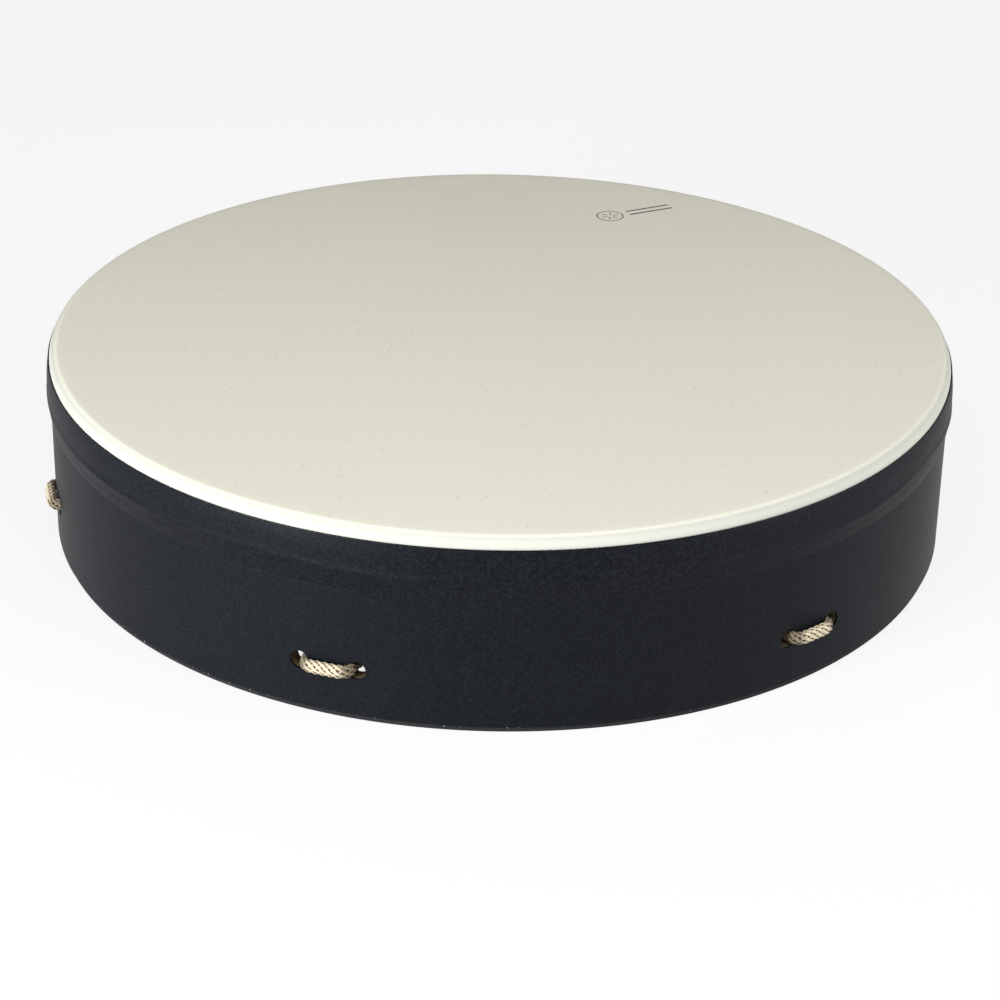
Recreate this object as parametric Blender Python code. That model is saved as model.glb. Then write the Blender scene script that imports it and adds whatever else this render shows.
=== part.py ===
"""Frame drum: a bent shell with one head on it, and a rope handle laced across the open side.

The drum stands on its open rim at z = 0, and its axis is the Z axis. Lengths are in metres.
Azimuths are measured from -Y towards +X.
"""

import math

import bmesh
import bpy
from mathutils import Vector

INCH = 0.0254
MM = 0.001

# Driving sizes
OUTER_RADIUS = 8.0 * INCH
HEIGHT = 3.5 * INCH
GAP = 0.3 * MM
SEGMENTS = 96
ARC_STEPS = 4

# Shell and its covering
COVERING_THICKNESS = 0.7 * MM
COVERING_FOOT = 3.0 * MM
COVERING_TOP = 59.4 * MM
SHELL_OUTER = OUTER_RADIUS - COVERING_THICKNESS - GAP
SHELL_WALL = 6.0 * MM
SHELL_INNER = SHELL_OUTER - SHELL_WALL
SHELL_FOOT_CHAMFER = 0.4 * MM
BEARING_CHAMFER = 1.5 * MM

# Head, the layer under it and the hoop that grips its skirt
HEAD_THICKNESS = 0.5 * MM
HEAD_SHOULDER = 4.5 * MM
HEAD_OUTER = SHELL_OUTER + GAP + HEAD_THICKNESS
SKIRT_FOOT = 64.0 * MM
DAMPING_THICKNESS = 1.0 * MM
DAMPING_RADIUS = SHELL_INNER - 0.7 * MM
HOOP_THICKNESS = 0.5 * MM
HOOP_FOOT = 67.0 * MM
HOOP_TOP = 77.5 * MM

# Edge band: radius of its outer face at each height, in millimetres
BAND_THICKNESS = 0.4 * MM
BAND_FACE = (
    (59.7, 203.3),
    (61.5, 203.6),
    (64.0, 204.1),
    (67.0, 204.5),
    (71.5, 204.7),
    (77.5, 204.45),
    (81.0, 204.1),
    (84.0, 203.6),
)

# Lacing: pairs of holes round the shell, one cord through all of them, a ring in the middle.
# The pairs are marked out by hand, so their azimuths, in degrees, are not quite even.
PAIR_AZIMUTHS = (-19.5, 40.2, 100.4, 160.9, 221.6, 282.3)
PAIRS = len(PAIR_AZIMUTHS)
HALF_PAIR = math.radians(3.5)
HOLE_HEIGHT = 23.5 * MM
HOLE_RADIUS = 4.2 * MM
HOLE_SIDES = 14
CORD_RADIUS = 2.75 * MM
CORD_HEIGHT = HOLE_HEIGHT - 0.2 * MM
CORD_STEP = 12.0 * MM
LEG_PIN = 10.0 * MM
RING_RADIUS = 29.0 * MM
ROD_RADIUS = 4.0 * MM
ROD_SIDES = 12
RING_SEGMENTS = 48
WRAP_GAP = 0.5 * MM
WRAP_RADIUS = ROD_RADIUS + WRAP_GAP + CORD_RADIUS
BIGHT_LEAN = 5.0 * MM
BIGHT_STEPS = 6
END_OFFSET = 7.6 * MM
TAIL_LENGTH = 44.0 * MM
SEIZING_START = 24.0 * MM
SEIZING_LENGTH = 11.0 * MM
SEIZING_THICKNESS = 1.2 * MM
SEIZING_ARC_STEPS = 8


def clear_scene():
    for obj in list(bpy.data.objects):
        bpy.data.objects.remove(obj, do_unlink=True)


def material(name, colour, roughness, metallic=0.0):
    made = bpy.data.materials.new(name)
    made.use_nodes = True
    shader = made.node_tree.nodes["Principled BSDF"]
    shader.inputs["Base Color"].default_value = (*colour, 1.0)
    shader.inputs["Roughness"].default_value = roughness
    shader.inputs["Metallic"].default_value = metallic
    return made


def object_from(name, bm, finish, crease=math.radians(35.0)):
    mesh = bpy.data.meshes.new(name)
    bm.to_mesh(mesh)
    bm.free()
    mesh.shade_smooth()
    mesh.set_sharp_from_angle(angle=crease)
    mesh.materials.append(finish)
    obj = bpy.data.objects.new(name, mesh)
    bpy.context.scene.collection.objects.link(obj)
    return obj


def turned(name, section, finish):
    """A body turned about Z from a section of (radius, height) points; a point at radius 0 closes it."""
    bm = bmesh.new()
    corners = [bm.verts.new((radius, 0.0, height)) for radius, height in section]
    open_section = section[0][0] == 0.0
    last = len(corners) - 1 if open_section else len(corners)
    edges = [bm.edges.new((corners[i], corners[(i + 1) % len(corners)])) for i in range(last)]
    bmesh.ops.spin(
        bm,
        geom=corners + edges,
        cent=(0.0, 0.0, 0.0),
        axis=(0.0, 0.0, 1.0),
        angle=2.0 * math.pi,
        steps=SEGMENTS,
        use_merge=True,
    )
    bmesh.ops.remove_doubles(bm, verts=bm.verts, dist=0.001 * MM)
    bmesh.ops.recalc_face_normals(bm, faces=bm.faces)
    return object_from(name, bm, finish)


def shoulder(radius):
    """A quarter turn from the top of the rim to its side, about the centre of the head's shoulder."""
    centre_radius = HEAD_OUTER - HEAD_SHOULDER
    centre_height = HEIGHT - HEAD_SHOULDER
    points = []
    for step in range(ARC_STEPS + 1):
        angle = 0.5 * math.pi * (1.0 - step / ARC_STEPS)
        points.append(
            (centre_radius + radius * math.cos(angle), centre_height + radius * math.sin(angle))
        )
    return points


def drill(obj, cutter):
    cut = obj.modifiers.new("lacing_holes", "BOOLEAN")
    cut.operation = "DIFFERENCE"
    cut.solver = "EXACT"
    cut.object = cutter


def hole_azimuths():
    for pair in range(PAIRS):
        for side in (-1.0, 1.0):
            yield pair_azimuth(pair) + side * HALF_PAIR


def make_hole_cutter():
    """Twelve radial drills in one hidden object."""
    bm = bmesh.new()
    for azimuth in hole_azimuths():
        rod = bmesh.ops.create_cone(
            bm,
            cap_ends=True,
            segments=HOLE_SIDES,
            radius1=HOLE_RADIUS,
            radius2=HOLE_RADIUS,
            depth=4.0 * SHELL_WALL,
        )
        for vert in rod["verts"]:
            across, up, along = vert.co
            vert.co = place(azimuth, across, SHELL_OUTER + along, HOLE_HEIGHT + up)
    bmesh.ops.recalc_face_normals(bm, faces=bm.faces)
    cutter = object_from("lacing_hole_drills", bm, None)
    cutter.hide_render = True
    cutter.display_type = "WIRE"
    return cutter


def place(azimuth, across, out, height):
    """The world point at a distance across and out from the axis, along the direction of an azimuth."""
    radial = Vector((math.sin(azimuth), -math.cos(azimuth), 0.0))
    sideways = Vector((math.cos(azimuth), math.sin(azimuth), 0.0))
    return radial * out + sideways * across + Vector((0.0, 0.0, height))


def make_shell(finish, cutter):
    section = shoulder(HEAD_SHOULDER - HEAD_THICKNESS - GAP)
    section += [
        (SHELL_OUTER, SHELL_FOOT_CHAMFER),
        (SHELL_OUTER - SHELL_FOOT_CHAMFER, 0.0),
        (SHELL_INNER, 0.0),
        (SHELL_INNER, HEIGHT - HEAD_THICKNESS - GAP - BEARING_CHAMFER),
        (SHELL_INNER + BEARING_CHAMFER, HEIGHT - HEAD_THICKNESS - GAP),
    ]
    drill(turned("shell", section, finish), cutter)


def make_covering(finish, cutter):
    inner = OUTER_RADIUS - COVERING_THICKNESS
    section = [
        (OUTER_RADIUS, COVERING_TOP),
        (OUTER_RADIUS, COVERING_FOOT),
        (inner, COVERING_FOOT),
        (inner, COVERING_TOP),
    ]
    drill(turned("side_covering", section, finish), cutter)


def make_head(finish):
    section = [(0.0, HEIGHT)]
    section += shoulder(HEAD_SHOULDER)
    section += [(HEAD_OUTER, SKIRT_FOOT), (HEAD_OUTER - HEAD_THICKNESS, SKIRT_FOOT)]
    section += reversed(shoulder(HEAD_SHOULDER - HEAD_THICKNESS))
    section += [(0.0, HEIGHT - HEAD_THICKNESS)]
    turned("drumhead", section, finish)


def make_damping_layer(finish):
    top = HEIGHT - HEAD_THICKNESS - GAP
    bottom = top - DAMPING_THICKNESS
    section = [(0.0, top), (DAMPING_RADIUS, top), (DAMPING_RADIUS, bottom), (0.0, bottom)]
    turned("damping_layer", section, finish)


def make_hoop(finish):
    inner = HEAD_OUTER + GAP
    outer = inner + HOOP_THICKNESS
    section = [(outer, HOOP_TOP), (outer, HOOP_FOOT), (inner, HOOP_FOOT), (inner, HOOP_TOP)]
    turned("tension_hoop", section, finish)


def make_edge_band(finish):
    face = [(radius * MM, height * MM) for height, radius in reversed(BAND_FACE)]
    back = [(radius - BAND_THICKNESS, height) for radius, height in reversed(face)]
    turned("edge_band", face + back, finish)


def make_ring(finish):
    bm = bmesh.new()
    for i in range(RING_SEGMENTS):
        around = 2.0 * math.pi * i / RING_SEGMENTS
        for j in range(ROD_SIDES):
            angle = 2.0 * math.pi * j / ROD_SIDES
            out = RING_RADIUS + ROD_RADIUS * math.cos(angle)
            bm.verts.new(place(around, 0.0, out, CORD_HEIGHT + ROD_RADIUS * math.sin(angle)))
    bm.verts.ensure_lookup_table()
    for i in range(RING_SEGMENTS):
        near = i * ROD_SIDES
        far = (i + 1) % RING_SEGMENTS * ROD_SIDES
        for j in range(ROD_SIDES):
            k = (j + 1) % ROD_SIDES
            bm.faces.new([bm.verts[near + j], bm.verts[far + j], bm.verts[far + k], bm.verts[near + k]])
    bmesh.ops.recalc_face_normals(bm, faces=bm.faces)
    object_from("centre_ring", bm, finish)


def pair_azimuth(pair):
    turns, index = divmod(pair, PAIRS)
    return math.radians(PAIR_AZIMUTHS[index]) + 2.0 * math.pi * turns


def middle_azimuth(pair):
    """The direction half way between the pair before and this one."""
    return 0.5 * (pair_azimuth(pair - 1) + pair_azimuth(pair))


def outer_loop(pair):
    """The cord out through one hole of a pair, along the shell and in through the other."""
    half = (
        (-12.1, 188.0),
        (-12.0, 195.0),
        (-11.6, 199.5),
        (-11.2, 203.0),
        (-10.3, 205.2),
        (-8.2, 206.2),
        (-4.2, 206.4),
    )
    route = list(half) + [(0.0, 206.4)] + [(-across, out) for across, out in reversed(half)]
    return [place(pair_azimuth(pair), across * MM, out * MM, CORD_HEIGHT) for across, out in route]


def bight(pair):
    """The turn round the ring between the leg from the pair before and the leg to this pair."""
    points = []
    for step in range(BIGHT_STEPS + 1):
        turn = step / BIGHT_STEPS
        angle = math.pi * (0.5 + turn)
        across = BIGHT_LEAN * (2.0 * turn - 1.0)
        out = RING_RADIUS + WRAP_RADIUS * math.cos(angle)
        height = CORD_HEIGHT + WRAP_RADIUS * math.sin(angle)
        points.append(place(middle_azimuth(pair), across, out, height))
    return points


def end_turn(side):
    """A turn round the ring in the plane of one leg: side is +1 for the cord's start and -1 for its end."""
    azimuth = middle_azimuth(0)
    lean = pair_azimuth(0) - azimuth
    crossing = place(azimuth, side * END_OFFSET, RING_RADIUS, 0.0)
    outward = place(azimuth + side * lean, 0.0, 1.0, 0.0)
    reach = WRAP_RADIUS / math.cos(lean)
    points = []
    for step in range(BIGHT_STEPS + 1):
        angle = math.pi * (0.5 + step / BIGHT_STEPS)
        rise = Vector((0.0, 0.0, CORD_HEIGHT + WRAP_RADIUS * math.sin(angle)))
        points.append(crossing + outward * (reach * math.cos(angle)) + rise)
    return points


def along_leg(start, end, distance):
    return start + (end - start).normalized() * distance


def straight_leg(start, end):
    """Points that hold the cord straight between a turn at the ring and a hole in the shell."""
    return [along_leg(start, end, LEG_PIN), along_leg(end, start, LEG_PIN)]


def tail(start, end, height_offset):
    """The cut end of the cord, laid back along its own leg, from its tip to the ring."""
    offset = Vector((0.0, 0.0, height_offset))
    stations = (TAIL_LENGTH, SEIZING_START + SEIZING_LENGTH, SEIZING_START, 0.6 * SEIZING_START)
    return [along_leg(start, end, station) + offset for station in stations]


def cord_route():
    """Every point of the lacing, from the first cut end to the last."""
    lap = 2.0 * CORD_RADIUS + GAP
    first_turn = end_turn(1.0)
    last_turn = end_turn(-1.0)
    loops = [outer_loop(pair) for pair in range(PAIRS)]
    turns = [first_turn] + [bight(pair) for pair in range(1, PAIRS)] + [last_turn]
    route = tail(first_turn[-1], loops[0][0], lap) + first_turn
    for loop, turn_before, turn_after in zip(loops, turns, turns[1:]):
        route += straight_leg(turn_before[-1], loop[0])
        route += loop
        route += straight_leg(loop[-1], turn_after[0])
        route += turn_after
    route += reversed(tail(last_turn[0], loops[-1][-1], -lap))
    return route


def smooth_curve(points, step):
    """Points along a smooth curve through the route's points, about a step apart on its long stretches."""
    count = len(points)
    spans = [(points[i + 1] - points[i]).length for i in range(count - 1)]
    slopes = []
    for i in range(count):
        before = (points[i] - points[i - 1]) / spans[i - 1] if i > 0 else None
        after = (points[i + 1] - points[i]) / spans[i] if i + 1 < count else None
        if before is None or after is None:
            slopes.append(after if before is None else before)
        else:
            weight = spans[i - 1] / (spans[i - 1] + spans[i])
            slopes.append(before * (1.0 - weight) + after * weight)
    curve = [points[0]]
    for i, span in enumerate(spans):
        pieces = max(1, round(span / step))
        for piece in range(1, pieces + 1):
            t = piece / pieces
            curve.append(
                points[i] * (2 * t**3 - 3 * t**2 + 1)
                + slopes[i] * (span * (t**3 - 2 * t**2 + t))
                + points[i + 1] * (3 * t**2 - 2 * t**3)
                + slopes[i + 1] * (span * (t**3 - t**2))
            )
    return curve


def make_cord(finish):
    points = smooth_curve(cord_route(), CORD_STEP)
    path = bpy.data.curves.new("lacing_cord", "CURVE")
    path.dimensions = "3D"
    path.twist_mode = "MINIMUM"
    path.bevel_depth = CORD_RADIUS
    path.bevel_resolution = 2
    path.use_fill_caps = True
    spline = path.splines.new("POLY")
    spline.points.add(len(points) - 1)
    for spline_point, position in zip(spline.points, points):
        spline_point.co = (*position, 1.0)
    path.materials.append(finish)
    cord = bpy.data.objects.new("lacing_cord", path)
    bpy.context.scene.collection.objects.link(cord)


def sleeve_outline(radius, half_height):
    """Two half circles, one above the other, joined by straight sides: (across, up) points."""
    outline = []
    for centre, start in ((half_height, 0.0), (-half_height, math.pi)):
        for step in range(SEIZING_ARC_STEPS + 1):
            angle = start + math.pi * step / SEIZING_ARC_STEPS
            outline.append((radius * math.cos(angle), centre + radius * math.sin(angle)))
    return outline


def make_seizing(name, start, end, height_offset, finish):
    """A tight winding of twine that holds a tail to its leg: one oval sleeve round both."""
    along = (end - start).normalized()
    across = along.cross(Vector((0.0, 0.0, 1.0))).normalized()
    up = across.cross(along)
    middle = Vector((0.0, 0.0, 0.5 * height_offset))
    half_height = CORD_RADIUS + 0.5 * GAP
    inner = sleeve_outline(CORD_RADIUS + GAP, half_height)
    outer = sleeve_outline(CORD_RADIUS + GAP + SEIZING_THICKNESS, half_height)
    bm = bmesh.new()
    rings = []
    for outline, distance in (
        (inner, SEIZING_START),
        (outer, SEIZING_START),
        (outer, SEIZING_START + SEIZING_LENGTH),
        (inner, SEIZING_START + SEIZING_LENGTH),
    ):
        origin = start + along * distance + middle
        rings.append([bm.verts.new(origin + across * x + up * y) for x, y in outline])
    count = len(inner)
    for ring, following in zip(rings, rings[1:] + rings[:1]):
        for i in range(count):
            j = (i + 1) % count
            bm.faces.new([ring[i], ring[j], following[j], following[i]])
    bmesh.ops.recalc_face_normals(bm, faces=bm.faces)
    object_from(name, bm, finish)


def make_seizings(finish):
    lap = 2.0 * CORD_RADIUS + GAP
    first_leg = (end_turn(1.0)[-1], outer_loop(0)[0])
    last_leg = (end_turn(-1.0)[0], outer_loop(PAIRS - 1)[-1])
    make_seizing("end_seizing_1", *first_leg, lap, finish)
    make_seizing("end_seizing_2", *last_leg, -lap, finish)


def main():
    clear_scene()
    drills = make_hole_cutter()
    make_shell(material("shell_fibre", (0.060, 0.058, 0.055), 0.80), drills)
    make_covering(material("black_covering", (0.018, 0.020, 0.026), 0.55), drills)
    make_head(material("cream_head", (0.72, 0.70, 0.62), 0.65))
    make_damping_layer(material("damping_felt", (0.62, 0.60, 0.54), 0.95))
    make_hoop(material("hoop_steel", (0.45, 0.45, 0.46), 0.35, 1.0))
    make_edge_band(material("black_band", (0.018, 0.020, 0.026), 0.50))
    make_cord(material("braided_cord", (0.62, 0.50, 0.36), 0.90))
    make_ring(material("ring_steel", (0.50, 0.50, 0.51), 0.30, 1.0))
    make_seizings(material("waxed_twine", (0.42, 0.31, 0.20), 0.75))


main()
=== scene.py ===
# %% [markdown]
# # A frame drum with a laced rope handle
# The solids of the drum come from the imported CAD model, and the overall sizes below are read from them.
# The finer ones, such as the lacing's route, are set out again here. This script gives each piece a real
# one's surface. The drum stands on its open rim, with its axis on Z.

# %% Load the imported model
import math

import bmesh
import bpy
import numpy as np
from mathutils import Matrix, Vector


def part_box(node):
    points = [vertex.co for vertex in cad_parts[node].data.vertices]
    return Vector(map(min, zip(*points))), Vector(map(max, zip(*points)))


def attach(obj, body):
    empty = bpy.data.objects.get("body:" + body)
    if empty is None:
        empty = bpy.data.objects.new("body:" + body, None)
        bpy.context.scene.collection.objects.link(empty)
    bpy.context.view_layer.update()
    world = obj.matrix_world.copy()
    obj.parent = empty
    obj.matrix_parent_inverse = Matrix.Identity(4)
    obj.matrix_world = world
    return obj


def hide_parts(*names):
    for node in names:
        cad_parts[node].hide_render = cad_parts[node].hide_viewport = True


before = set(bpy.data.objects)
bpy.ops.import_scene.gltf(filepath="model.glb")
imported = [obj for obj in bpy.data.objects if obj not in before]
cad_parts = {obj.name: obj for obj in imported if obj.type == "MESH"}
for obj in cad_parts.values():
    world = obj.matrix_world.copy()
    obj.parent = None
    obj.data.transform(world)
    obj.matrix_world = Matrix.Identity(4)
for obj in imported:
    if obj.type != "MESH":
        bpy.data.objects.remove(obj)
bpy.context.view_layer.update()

MM = 0.001
head_low, head_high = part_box("drumhead")
shell_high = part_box("shell")[1]
cover_low, cover_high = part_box("side_covering")
band_low, band_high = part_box("edge_band")
print("nodes:", sorted(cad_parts))
print("drum across the covering and high, mm:", round(2 * cover_high.x / MM, 1), round(head_high.z / MM, 1))

# %% [markdown]
# ## Camera, lights and floor
# A product picture of a pale drum with a black side needs two things from its lights. A broad, soft light
# above and in front keeps the head even, and one on each side puts a long, dim reflection on the black
# covering, which would else be a black hole. The camera stands a little over a metre away with a long
# lens, so the drum's ellipse is calm.

# %% Camera
CAMERA_DISTANCE = 1.3272
CAMERA_ELEVATION = math.radians(25.40)
CAMERA_AIM_DROP = math.radians(1.64)
CAMERA_YAW = math.radians(-0.053)
CAMERA_ROLL = math.radians(1.05)
CAMERA_LENS = 103.7
LOOK_AT = Vector((0.0, 0.0, 0.045))

scene = bpy.context.scene
camera_data = bpy.data.cameras.new("camera")
camera_data.lens = CAMERA_LENS
camera_data.sensor_width = 36.0
camera_data.clip_start = 0.05
camera = bpy.data.objects.new("camera", camera_data)
scene.collection.objects.link(camera)
camera_turn = (
    Matrix.Rotation(CAMERA_YAW, 4, "Z")
    @ Matrix.Rotation(0.5 * math.pi - CAMERA_ELEVATION - CAMERA_AIM_DROP, 4, "X")
    @ Matrix.Rotation(CAMERA_ROLL, 4, "Z")
)
camera_place = LOOK_AT + CAMERA_DISTANCE * Vector(
    (0.0, -math.cos(CAMERA_ELEVATION), math.sin(CAMERA_ELEVATION))
)
camera.matrix_world = Matrix.Translation(camera_place) @ camera_turn
scene.camera = camera
scene.view_settings.view_transform = "Standard"
print("camera at", [round(c, 3) for c in camera_place])

# %% Lights and floor
def area_light(name, place, size, power, colour=(1.0, 1.0, 1.0), aim=(0.0, 0.0, 0.05)):
    """A square soft light at a place, turned to face a point."""
    data = bpy.data.lights.new(name, "AREA")
    data.shape = "RECTANGLE"
    data.size, data.size_y = size
    data.energy = power
    data.color = colour
    light = bpy.data.objects.new(name, data)
    light.location = place
    light.rotation_euler = (Vector(aim) - Vector(place)).to_track_quat("-Z", "Y").to_euler()
    scene.collection.objects.link(light)
    return light


area_light("left_light", (-1.08, -1.02, 0.30), (0.7, 0.5), 40.0, (0.90, 0.965, 1.0))
area_light("right_light", (1.40, -0.60, 0.45), (1.0, 0.8), 24.0, (0.90, 0.965, 1.0))
area_light("front_light", (0.0, -0.75, 1.05), (1.2, 0.5), 11.5, (1.0, 1.0, 0.99))
area_light("back_light", (0.0, 1.8, 1.6), (2.4, 1.0), 8.5, (1.0, 0.955, 0.93), aim=(0.0, 1.0, 0.0))

world = bpy.data.worlds.new("studio")
world.use_nodes = True
world.node_tree.nodes["Background"].inputs["Color"].default_value = (1.0, 1.0, 1.0, 1.0)
world.node_tree.nodes["Background"].inputs["Strength"].default_value = 0.08
scene.world = world


def principled(name):
    """A new material with its shader node, which has the name Principled BSDF."""
    made = bpy.data.materials.new(name)
    made.use_nodes = True
    return made, made.node_tree.nodes["Principled BSDF"]


floor_finish, floor_shader = principled("pale_floor")
floor_shader.inputs["Base Color"].default_value = (0.10, 0.10, 0.10, 1.0)
floor_shader.inputs["Roughness"].default_value = 0.9
floor_shader.inputs["Emission Color"].default_value = (1.0, 1.0, 1.0, 1.0)
floor_shader.inputs["Emission Strength"].default_value = 0.82
floor_mesh = bpy.data.meshes.new("floor")
FLOOR_HALF = 6.0
corners = [(x * FLOOR_HALF, y * FLOOR_HALF, 0) for x, y in ((-1, -1), (1, -1), (1, 1), (-1, 1))]
floor_mesh.from_pydata(corners, [], [(0, 1, 2, 3)])
floor_mesh.materials.append(floor_finish)
floor = bpy.data.objects.new("floor", floor_mesh)
scene.collection.objects.link(floor)

# %% [markdown]
# ## Shared surface effects
# Three effects turn up on more than one material, so each is a shader node group with its own inputs: a
# slow, cloudy change of tone, a fine grain, and sparse specks. A group puts out plain numbers, and the
# material decides what they colour or lift.

# %% Helpers for shader trees
def new_group(name, inputs, outputs):
    """A shader node group with float inputs given as {name: value} and float outputs."""
    tree = bpy.data.node_groups.new(name, "ShaderNodeTree")
    for label, value in inputs.items():
        socket = tree.interface.new_socket(label, in_out="INPUT", socket_type="NodeSocketFloat")
        socket.default_value = value
    for label in outputs:
        tree.interface.new_socket(label, in_out="OUTPUT", socket_type="NodeSocketFloat")
    entry = tree.nodes.new("NodeGroupInput")
    leave = tree.nodes.new("NodeGroupOutput")
    return tree, entry, leave


def node(tree, kind, values=None, **settings):
    """A node of a kind, with its settings and the values of its unlinked inputs."""
    made = tree.nodes.new(kind)
    for key, value in settings.items():
        setattr(made, key, value)
    for key, value in (values or {}).items():
        made.inputs[key].default_value = value
    return made


def wire(tree, source, target):
    tree.links.new(source, target)


def math_node(tree, operation, first, second=None):
    """A Math node whose operands are sockets or numbers; it returns its output socket."""
    made = node(tree, "ShaderNodeMath", operation=operation)
    for slot, operand in enumerate((first, second)):
        if operand is None:
            continue
        if isinstance(operand, (int, float)):
            made.inputs[slot].default_value = operand
        else:
            wire(tree, operand, made.inputs[slot])
    return made.outputs[0]


def plus(tree, first, second):
    return math_node(tree, "ADD", first, second)


def minus(tree, first, second):
    return math_node(tree, "SUBTRACT", first, second)


def times(tree, first, second):
    return math_node(tree, "MULTIPLY", first, second)


def distance_from_origin(tree, first, second):
    """The square root of the sum of two squares."""
    squares = [math_node(tree, "POWER", value, 2.0) for value in (first, second)]
    return math_node(tree, "SQRT", plus(tree, *squares))


def object_place(tree):
    return node(tree, "ShaderNodeTexCoord").outputs["Object"]


def split_xyz(tree, vector):
    """The outputs X, Y and Z of a vector."""
    made = node(tree, "ShaderNodeSeparateXYZ")
    wire(tree, vector, made.inputs["Vector"])
    return made.outputs


def remap(tree, value, low, high, to_low=0.0, to_high=1.0):
    """A clamped Map Range of a socket; low and high may be sockets."""
    made = node(tree, "ShaderNodeMapRange", {"To Min": to_low, "To Max": to_high})
    wire(tree, value, made.inputs["Value"])
    for label, limit in (("From Min", low), ("From Max", high)):
        if isinstance(limit, (int, float)):
            made.inputs[label].default_value = limit
        else:
            wire(tree, limit, made.inputs[label])
    return made.outputs["Result"]


# %% Cloud, grain and speck groups
def make_cloud_group():
    tree, entry, leave = new_group("cloud", {"Scale": 20.0, "Strength": 1.0}, ["Value"])
    place = object_place(tree)
    noise = node(tree, "ShaderNodeTexNoise", {"Detail": 3.0, "Roughness": 0.55})
    wire(tree, place, noise.inputs["Vector"])
    wire(tree, entry.outputs["Scale"], noise.inputs["Scale"])
    centred = minus(tree, noise.outputs["Fac"], 0.5)
    wire(tree, times(tree, centred, entry.outputs["Strength"]), leave.inputs["Value"])
    return tree


def make_grain_group():
    """Pebbled grain: rounded cells, broken up by a finer noise."""
    tree, entry, leave = new_group("grain", {"Pebbles per metre": 1200.0, "Roughening": 0.35}, ["Height"])
    place = object_place(tree)
    cells = node(tree, "ShaderNodeTexVoronoi", {"Randomness": 1.0}, feature="SMOOTH_F1")
    fine = node(tree, "ShaderNodeTexNoise", {"Detail": 4.0, "Roughness": 0.7})
    for texture in (cells, fine):
        wire(tree, place, texture.inputs["Vector"])
        wire(tree, entry.outputs["Pebbles per metre"], texture.inputs["Scale"])
    rough = times(tree, fine.outputs["Fac"], entry.outputs["Roughening"])
    pebble = minus(tree, 1.0, cells.outputs["Distance"])
    wire(tree, plus(tree, pebble, rough), leave.inputs["Height"])
    return tree


def make_speck_group():
    """Sparse specks on a sheet in the XY plane: one candidate to a cell, and only a share of them shows."""
    tree, entry, leave = new_group(
        "specks", {"Cells per metre": 90.0, "Radius": 0.05, "Share": 0.5, "Squash": 1.0}, ["Mask", "Kind"]
    )
    place = object_place(tree)
    squash = node(tree, "ShaderNodeCombineXYZ", {"X": 1.0, "Z": 1.0})
    wire(tree, entry.outputs["Squash"], squash.inputs["Y"])
    stretched = node(tree, "ShaderNodeVectorMath", operation="MULTIPLY")
    wire(tree, place, stretched.inputs[0])
    wire(tree, squash.outputs["Vector"], stretched.inputs[1])
    wobble = node(tree, "ShaderNodeTexNoise", {"Scale": 900.0, "Detail": 2.0})
    wire(tree, place, wobble.inputs["Vector"])
    cells = node(tree, "ShaderNodeTexVoronoi", {"Randomness": 1.0}, feature="F1", voronoi_dimensions="2D")
    wire(tree, stretched.outputs["Vector"], cells.inputs["Vector"])
    wire(tree, entry.outputs["Cells per metre"], cells.inputs["Scale"])
    parts = node(tree, "ShaderNodeSeparateColor")
    wire(tree, cells.outputs["Color"], parts.inputs["Color"])
    uneven = remap(tree, wobble.outputs["Fac"], 0.3, 0.7, 0.6, 1.4)
    size = remap(tree, parts.outputs["Green"], 0.0, 1.0, 0.45, 1.3)
    reach = times(tree, times(tree, entry.outputs["Radius"], uneven), size)
    core = times(tree, reach, 0.35)
    inside = minus(tree, 1.0, remap(tree, cells.outputs["Distance"], core, reach))
    shown = math_node(tree, "LESS_THAN", parts.outputs["Red"], entry.outputs["Share"])
    wire(tree, times(tree, inside, shown), leave.inputs["Mask"])
    wire(tree, parts.outputs["Blue"], leave.inputs["Kind"])
    return tree


CLOUD = make_cloud_group()
GRAIN = make_grain_group()
SPECKS = make_speck_group()


def use_group(tree, group, **values):
    """The group placed in a material's tree, its inputs set by name with _ for a space."""
    made = node(tree, "ShaderNodeGroup", node_tree=group)
    for label, value in values.items():
        made.inputs[label.replace("_", " ")].default_value = value
    return made


def cloudy(tree, scale, strength=1.0):
    """The value of a cloud of a scale, about 0."""
    return use_group(tree, CLOUD, Scale=scale, Strength=strength).outputs["Value"]


def tone(tree, colour, mask, other):
    """A colour that turns into another where a mask says; each may be a socket or three numbers."""
    mix = node(tree, "ShaderNodeMix", data_type="RGBA")
    for slot, value in ((6, colour), (7, other)):
        if isinstance(value, tuple):
            mix.inputs[slot].default_value = (*value, 1.0)
        else:
            wire(tree, value, mix.inputs[slot])
    wire(tree, mask, mix.inputs[0])
    return mix.outputs[2]


def two_toned(name, scale, first, second, roughness=0.5):
    """A material clouded between two colours, its shader node and the cloud's mask."""
    finish, shader = principled(name)
    tree = finish.node_tree
    mask = remap(tree, cloudy(tree, scale), -0.3, 0.3)
    wire(tree, tone(tree, first, mask, second), shader.inputs["Base Color"])
    shader.inputs["Roughness"].default_value = roughness
    return finish, shader, mask


def paint(tree, shader, base, roughness, specular=0.5, metallic=0.0):
    """The shader's colour from a socket, its roughness from a socket or a number, and two plain values."""
    wire(tree, base, shader.inputs["Base Color"])
    if isinstance(roughness, float):
        shader.inputs["Roughness"].default_value = roughness
    else:
        wire(tree, roughness, shader.inputs["Roughness"])
    shader.inputs["Specular IOR Level"].default_value = specular
    shader.inputs["Metallic"].default_value = metallic


def lift(tree, shader, height, distance, strength=1.0):
    """A Bump node from a height socket to the shader's normal; distance is in metres."""
    bump = node(tree, "ShaderNodeBump", {"Strength": strength, "Distance": distance})
    wire(tree, height, bump.inputs["Height"])
    wire(tree, bump.outputs["Normal"], shader.inputs["Normal"])


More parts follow.
